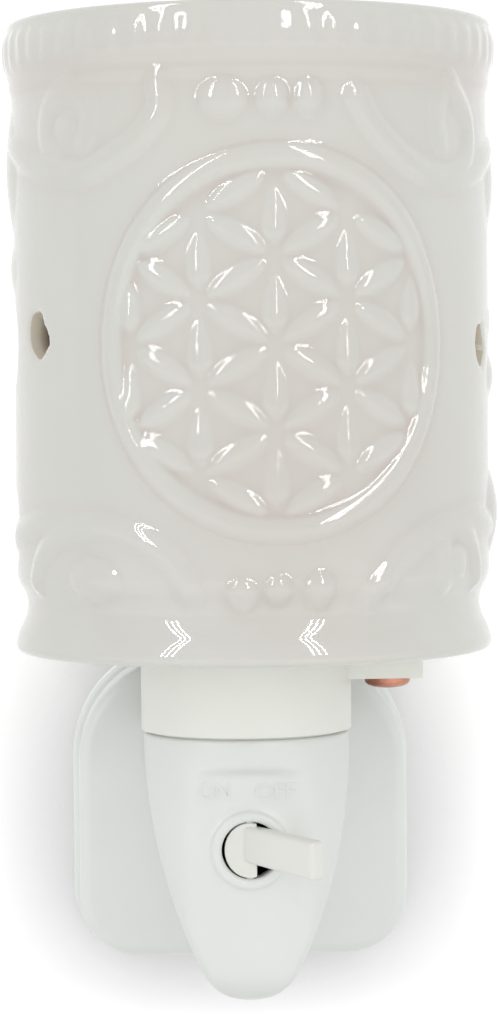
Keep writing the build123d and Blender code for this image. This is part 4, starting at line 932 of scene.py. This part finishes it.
def stage_plane(name, corners, material):
    """Flat surface that isn't part of the object."""
    mesh = bpy.data.meshes.new(name)
    mesh.from_pydata(corners, [], [(0, 1, 2, 3)])
    mesh.materials.append(material)
    made = bpy.data.objects.new(name, mesh)
    bpy.context.scene.collection.objects.link(made)


STAGE_COLOUR = (0.7, 0.7, 0.7, 1)
FLOOR_COLOUR = (0.86, 0.86, 0.86, 1)
STAGE_GLOW = 0.52
SHADOW_REACH = 0.02  # distance over which the object darkens the glow
SHADOW_DEPTH = 2.5
BACK_REACH = 0.03  # light from nearer than this goes through the stage
PALE = stage_material("pale_stage", STAGE_COLOUR)
FLOOR = stage_material("pale_floor", FLOOR_COLOUR)
WALL_Y, FLOOR_Z, REACH = 0.0006, -0.06, 1.6
WALL_LOW = FLOOR_Z + 0.6 * SHADOW_REACH  # above the floor, which would darken the glow
stage_plane("backdrop", [(-REACH, WALL_Y, WALL_LOW), (REACH, WALL_Y, WALL_LOW), (REACH, WALL_Y, REACH),
                         (-REACH, WALL_Y, REACH)], PALE)
stage_plane("floor", [(-REACH, -REACH, FLOOR_Z), (REACH, -REACH, FLOOR_Z), (REACH, REACH, FLOOR_Z),
                      (-REACH, REACH, FLOOR_Z)], FLOOR)


def make_world(level, overhead):
    """White background, and light that goes from one level near the horizon to another overhead."""
    world = bpy.data.worlds.new("world")
    bpy.context.scene.world = world
    world.use_nodes = True
    t = world.node_tree
    t.nodes.clear()
    out = t.nodes.new("ShaderNodeOutputWorld")
    light = t.nodes.new("ShaderNodeBackground")
    light.inputs["Color"].default_value = (1, 1, 1, 1)
    sky = t.nodes.new("ShaderNodeTexCoord")
    parts = t.nodes.new("ShaderNodeSeparateXYZ")
    fall = t.nodes.new("ShaderNodeMapRange")
    ends = {"From Min": 0.1, "From Max": 1.0, "To Min": level, "To Max": overhead}
    for key, number in ends.items():
        fall.inputs[key].default_value = number
    t.links.new(sky.outputs["Generated"], parts.inputs[0])
    t.links.new(parts.outputs["Z"], fall.inputs["Value"])
    t.links.new(fall.outputs["Result"], light.inputs["Strength"])
    white = t.nodes.new("ShaderNodeBackground")
    white.inputs["Color"].default_value = (1, 1, 1, 1)
    white.inputs["Strength"].default_value = 1.0
    mix = t.nodes.new("ShaderNodeMixShader")
    t.links.new(background_ray(t), mix.inputs[0])
    t.links.new(light.outputs[0], mix.inputs[1])
    t.links.new(white.outputs[0], mix.inputs[2])
    t.links.new(mix.outputs[0], out.inputs["Surface"])


def area(name, where, target, wide, tall, radiance):
    """Light of a given size and brightness that faces a target."""
    data = bpy.data.lights.new(name, "AREA")
    data.shape = "RECTANGLE"
    data.size, data.size_y = wide, tall
    data.energy = radiance * math.pi * wide * tall
    made = bpy.data.objects.new(name, data)
    bpy.context.scene.collection.objects.link(made)
    aim = Vector(target) - Vector(where)
    made.location = where
    made.rotation_mode = "QUATERNION"
    made.rotation_quaternion = aim.to_track_quat("-Z", "Y")
    made.visible_camera = False
    return made


def led_panel(name, bearing):
    """Upright rows of light points, side by side, at a bearing from the front to the right."""
    turn = math.radians(bearing)
    along = Vector((math.cos(turn), math.sin(turn), 0))
    middle = (PANEL_LOW + PANEL_HIGH) / 2
    foot = Vector((PANEL_FAR * math.sin(turn), AXIS_Y * MM - PANEL_FAR * math.cos(turn), middle))
    for i in range(LED_COLUMNS):
        where = foot + along * LED_PITCH * (i - (LED_COLUMNS - 1) / 2)
        target = where + Vector((-math.sin(turn), math.cos(turn), 0))
        made = area(f"{name}_{i}", where, target, LED_WIDE, PANEL_HIGH - PANEL_LOW, LED_LEVEL)
        made.visible_diffuse = False
        made.data.use_nodes = True
        t = made.data.node_tree
        spot = t.nodes.new("ShaderNodeNewGeometry")
        parts = t.nodes.new("ShaderNodeSeparateXYZ")
        t.links.new(spot.outputs["Parametric"], parts.inputs[0])
        last = parts.outputs["Y"]
        for operation, value in (("MULTIPLY", LED_ROWS), ("FRACT", 0.0), ("LESS_THAN", LED_SHARE)):
            last = math_node(t, operation, last, value)
        t.links.new(last, t.nodes["Emission"].inputs["Strength"])


PANEL_FAR = 1.2
PANEL_LOW, PANEL_HIGH = 0.226, 1.926
LED_PITCH = 0.062
LED_COLUMNS = 3
LED_ROWS = 34
LED_WIDE = 0.017
LED_SHARE = 0.85  # lit part of each row
LED_LEVEL = 42.0
LEFT_BEARING, RIGHT_BEARING = -44.0, 29.0
WORLD_LEVEL, OVERHEAD_LEVEL, FILL_LEVEL = 1.17, 0.78, 0.24
FILL_WIDE, FILL_TALL, FILL_Y = 1.4, 1.0, -0.6
make_world(WORLD_LEVEL, OVERHEAD_LEVEL)
area("low_fill", (0, FILL_Y, FLOOR_Z + 0.002), (0, FILL_Y, 1), FILL_WIDE, FILL_TALL, FILL_LEVEL)
led_panel("panel_left", LEFT_BEARING)
led_panel("panel_right", RIGHT_BEARING)

bpy.context.scene.view_settings.view_transform = "Standard"
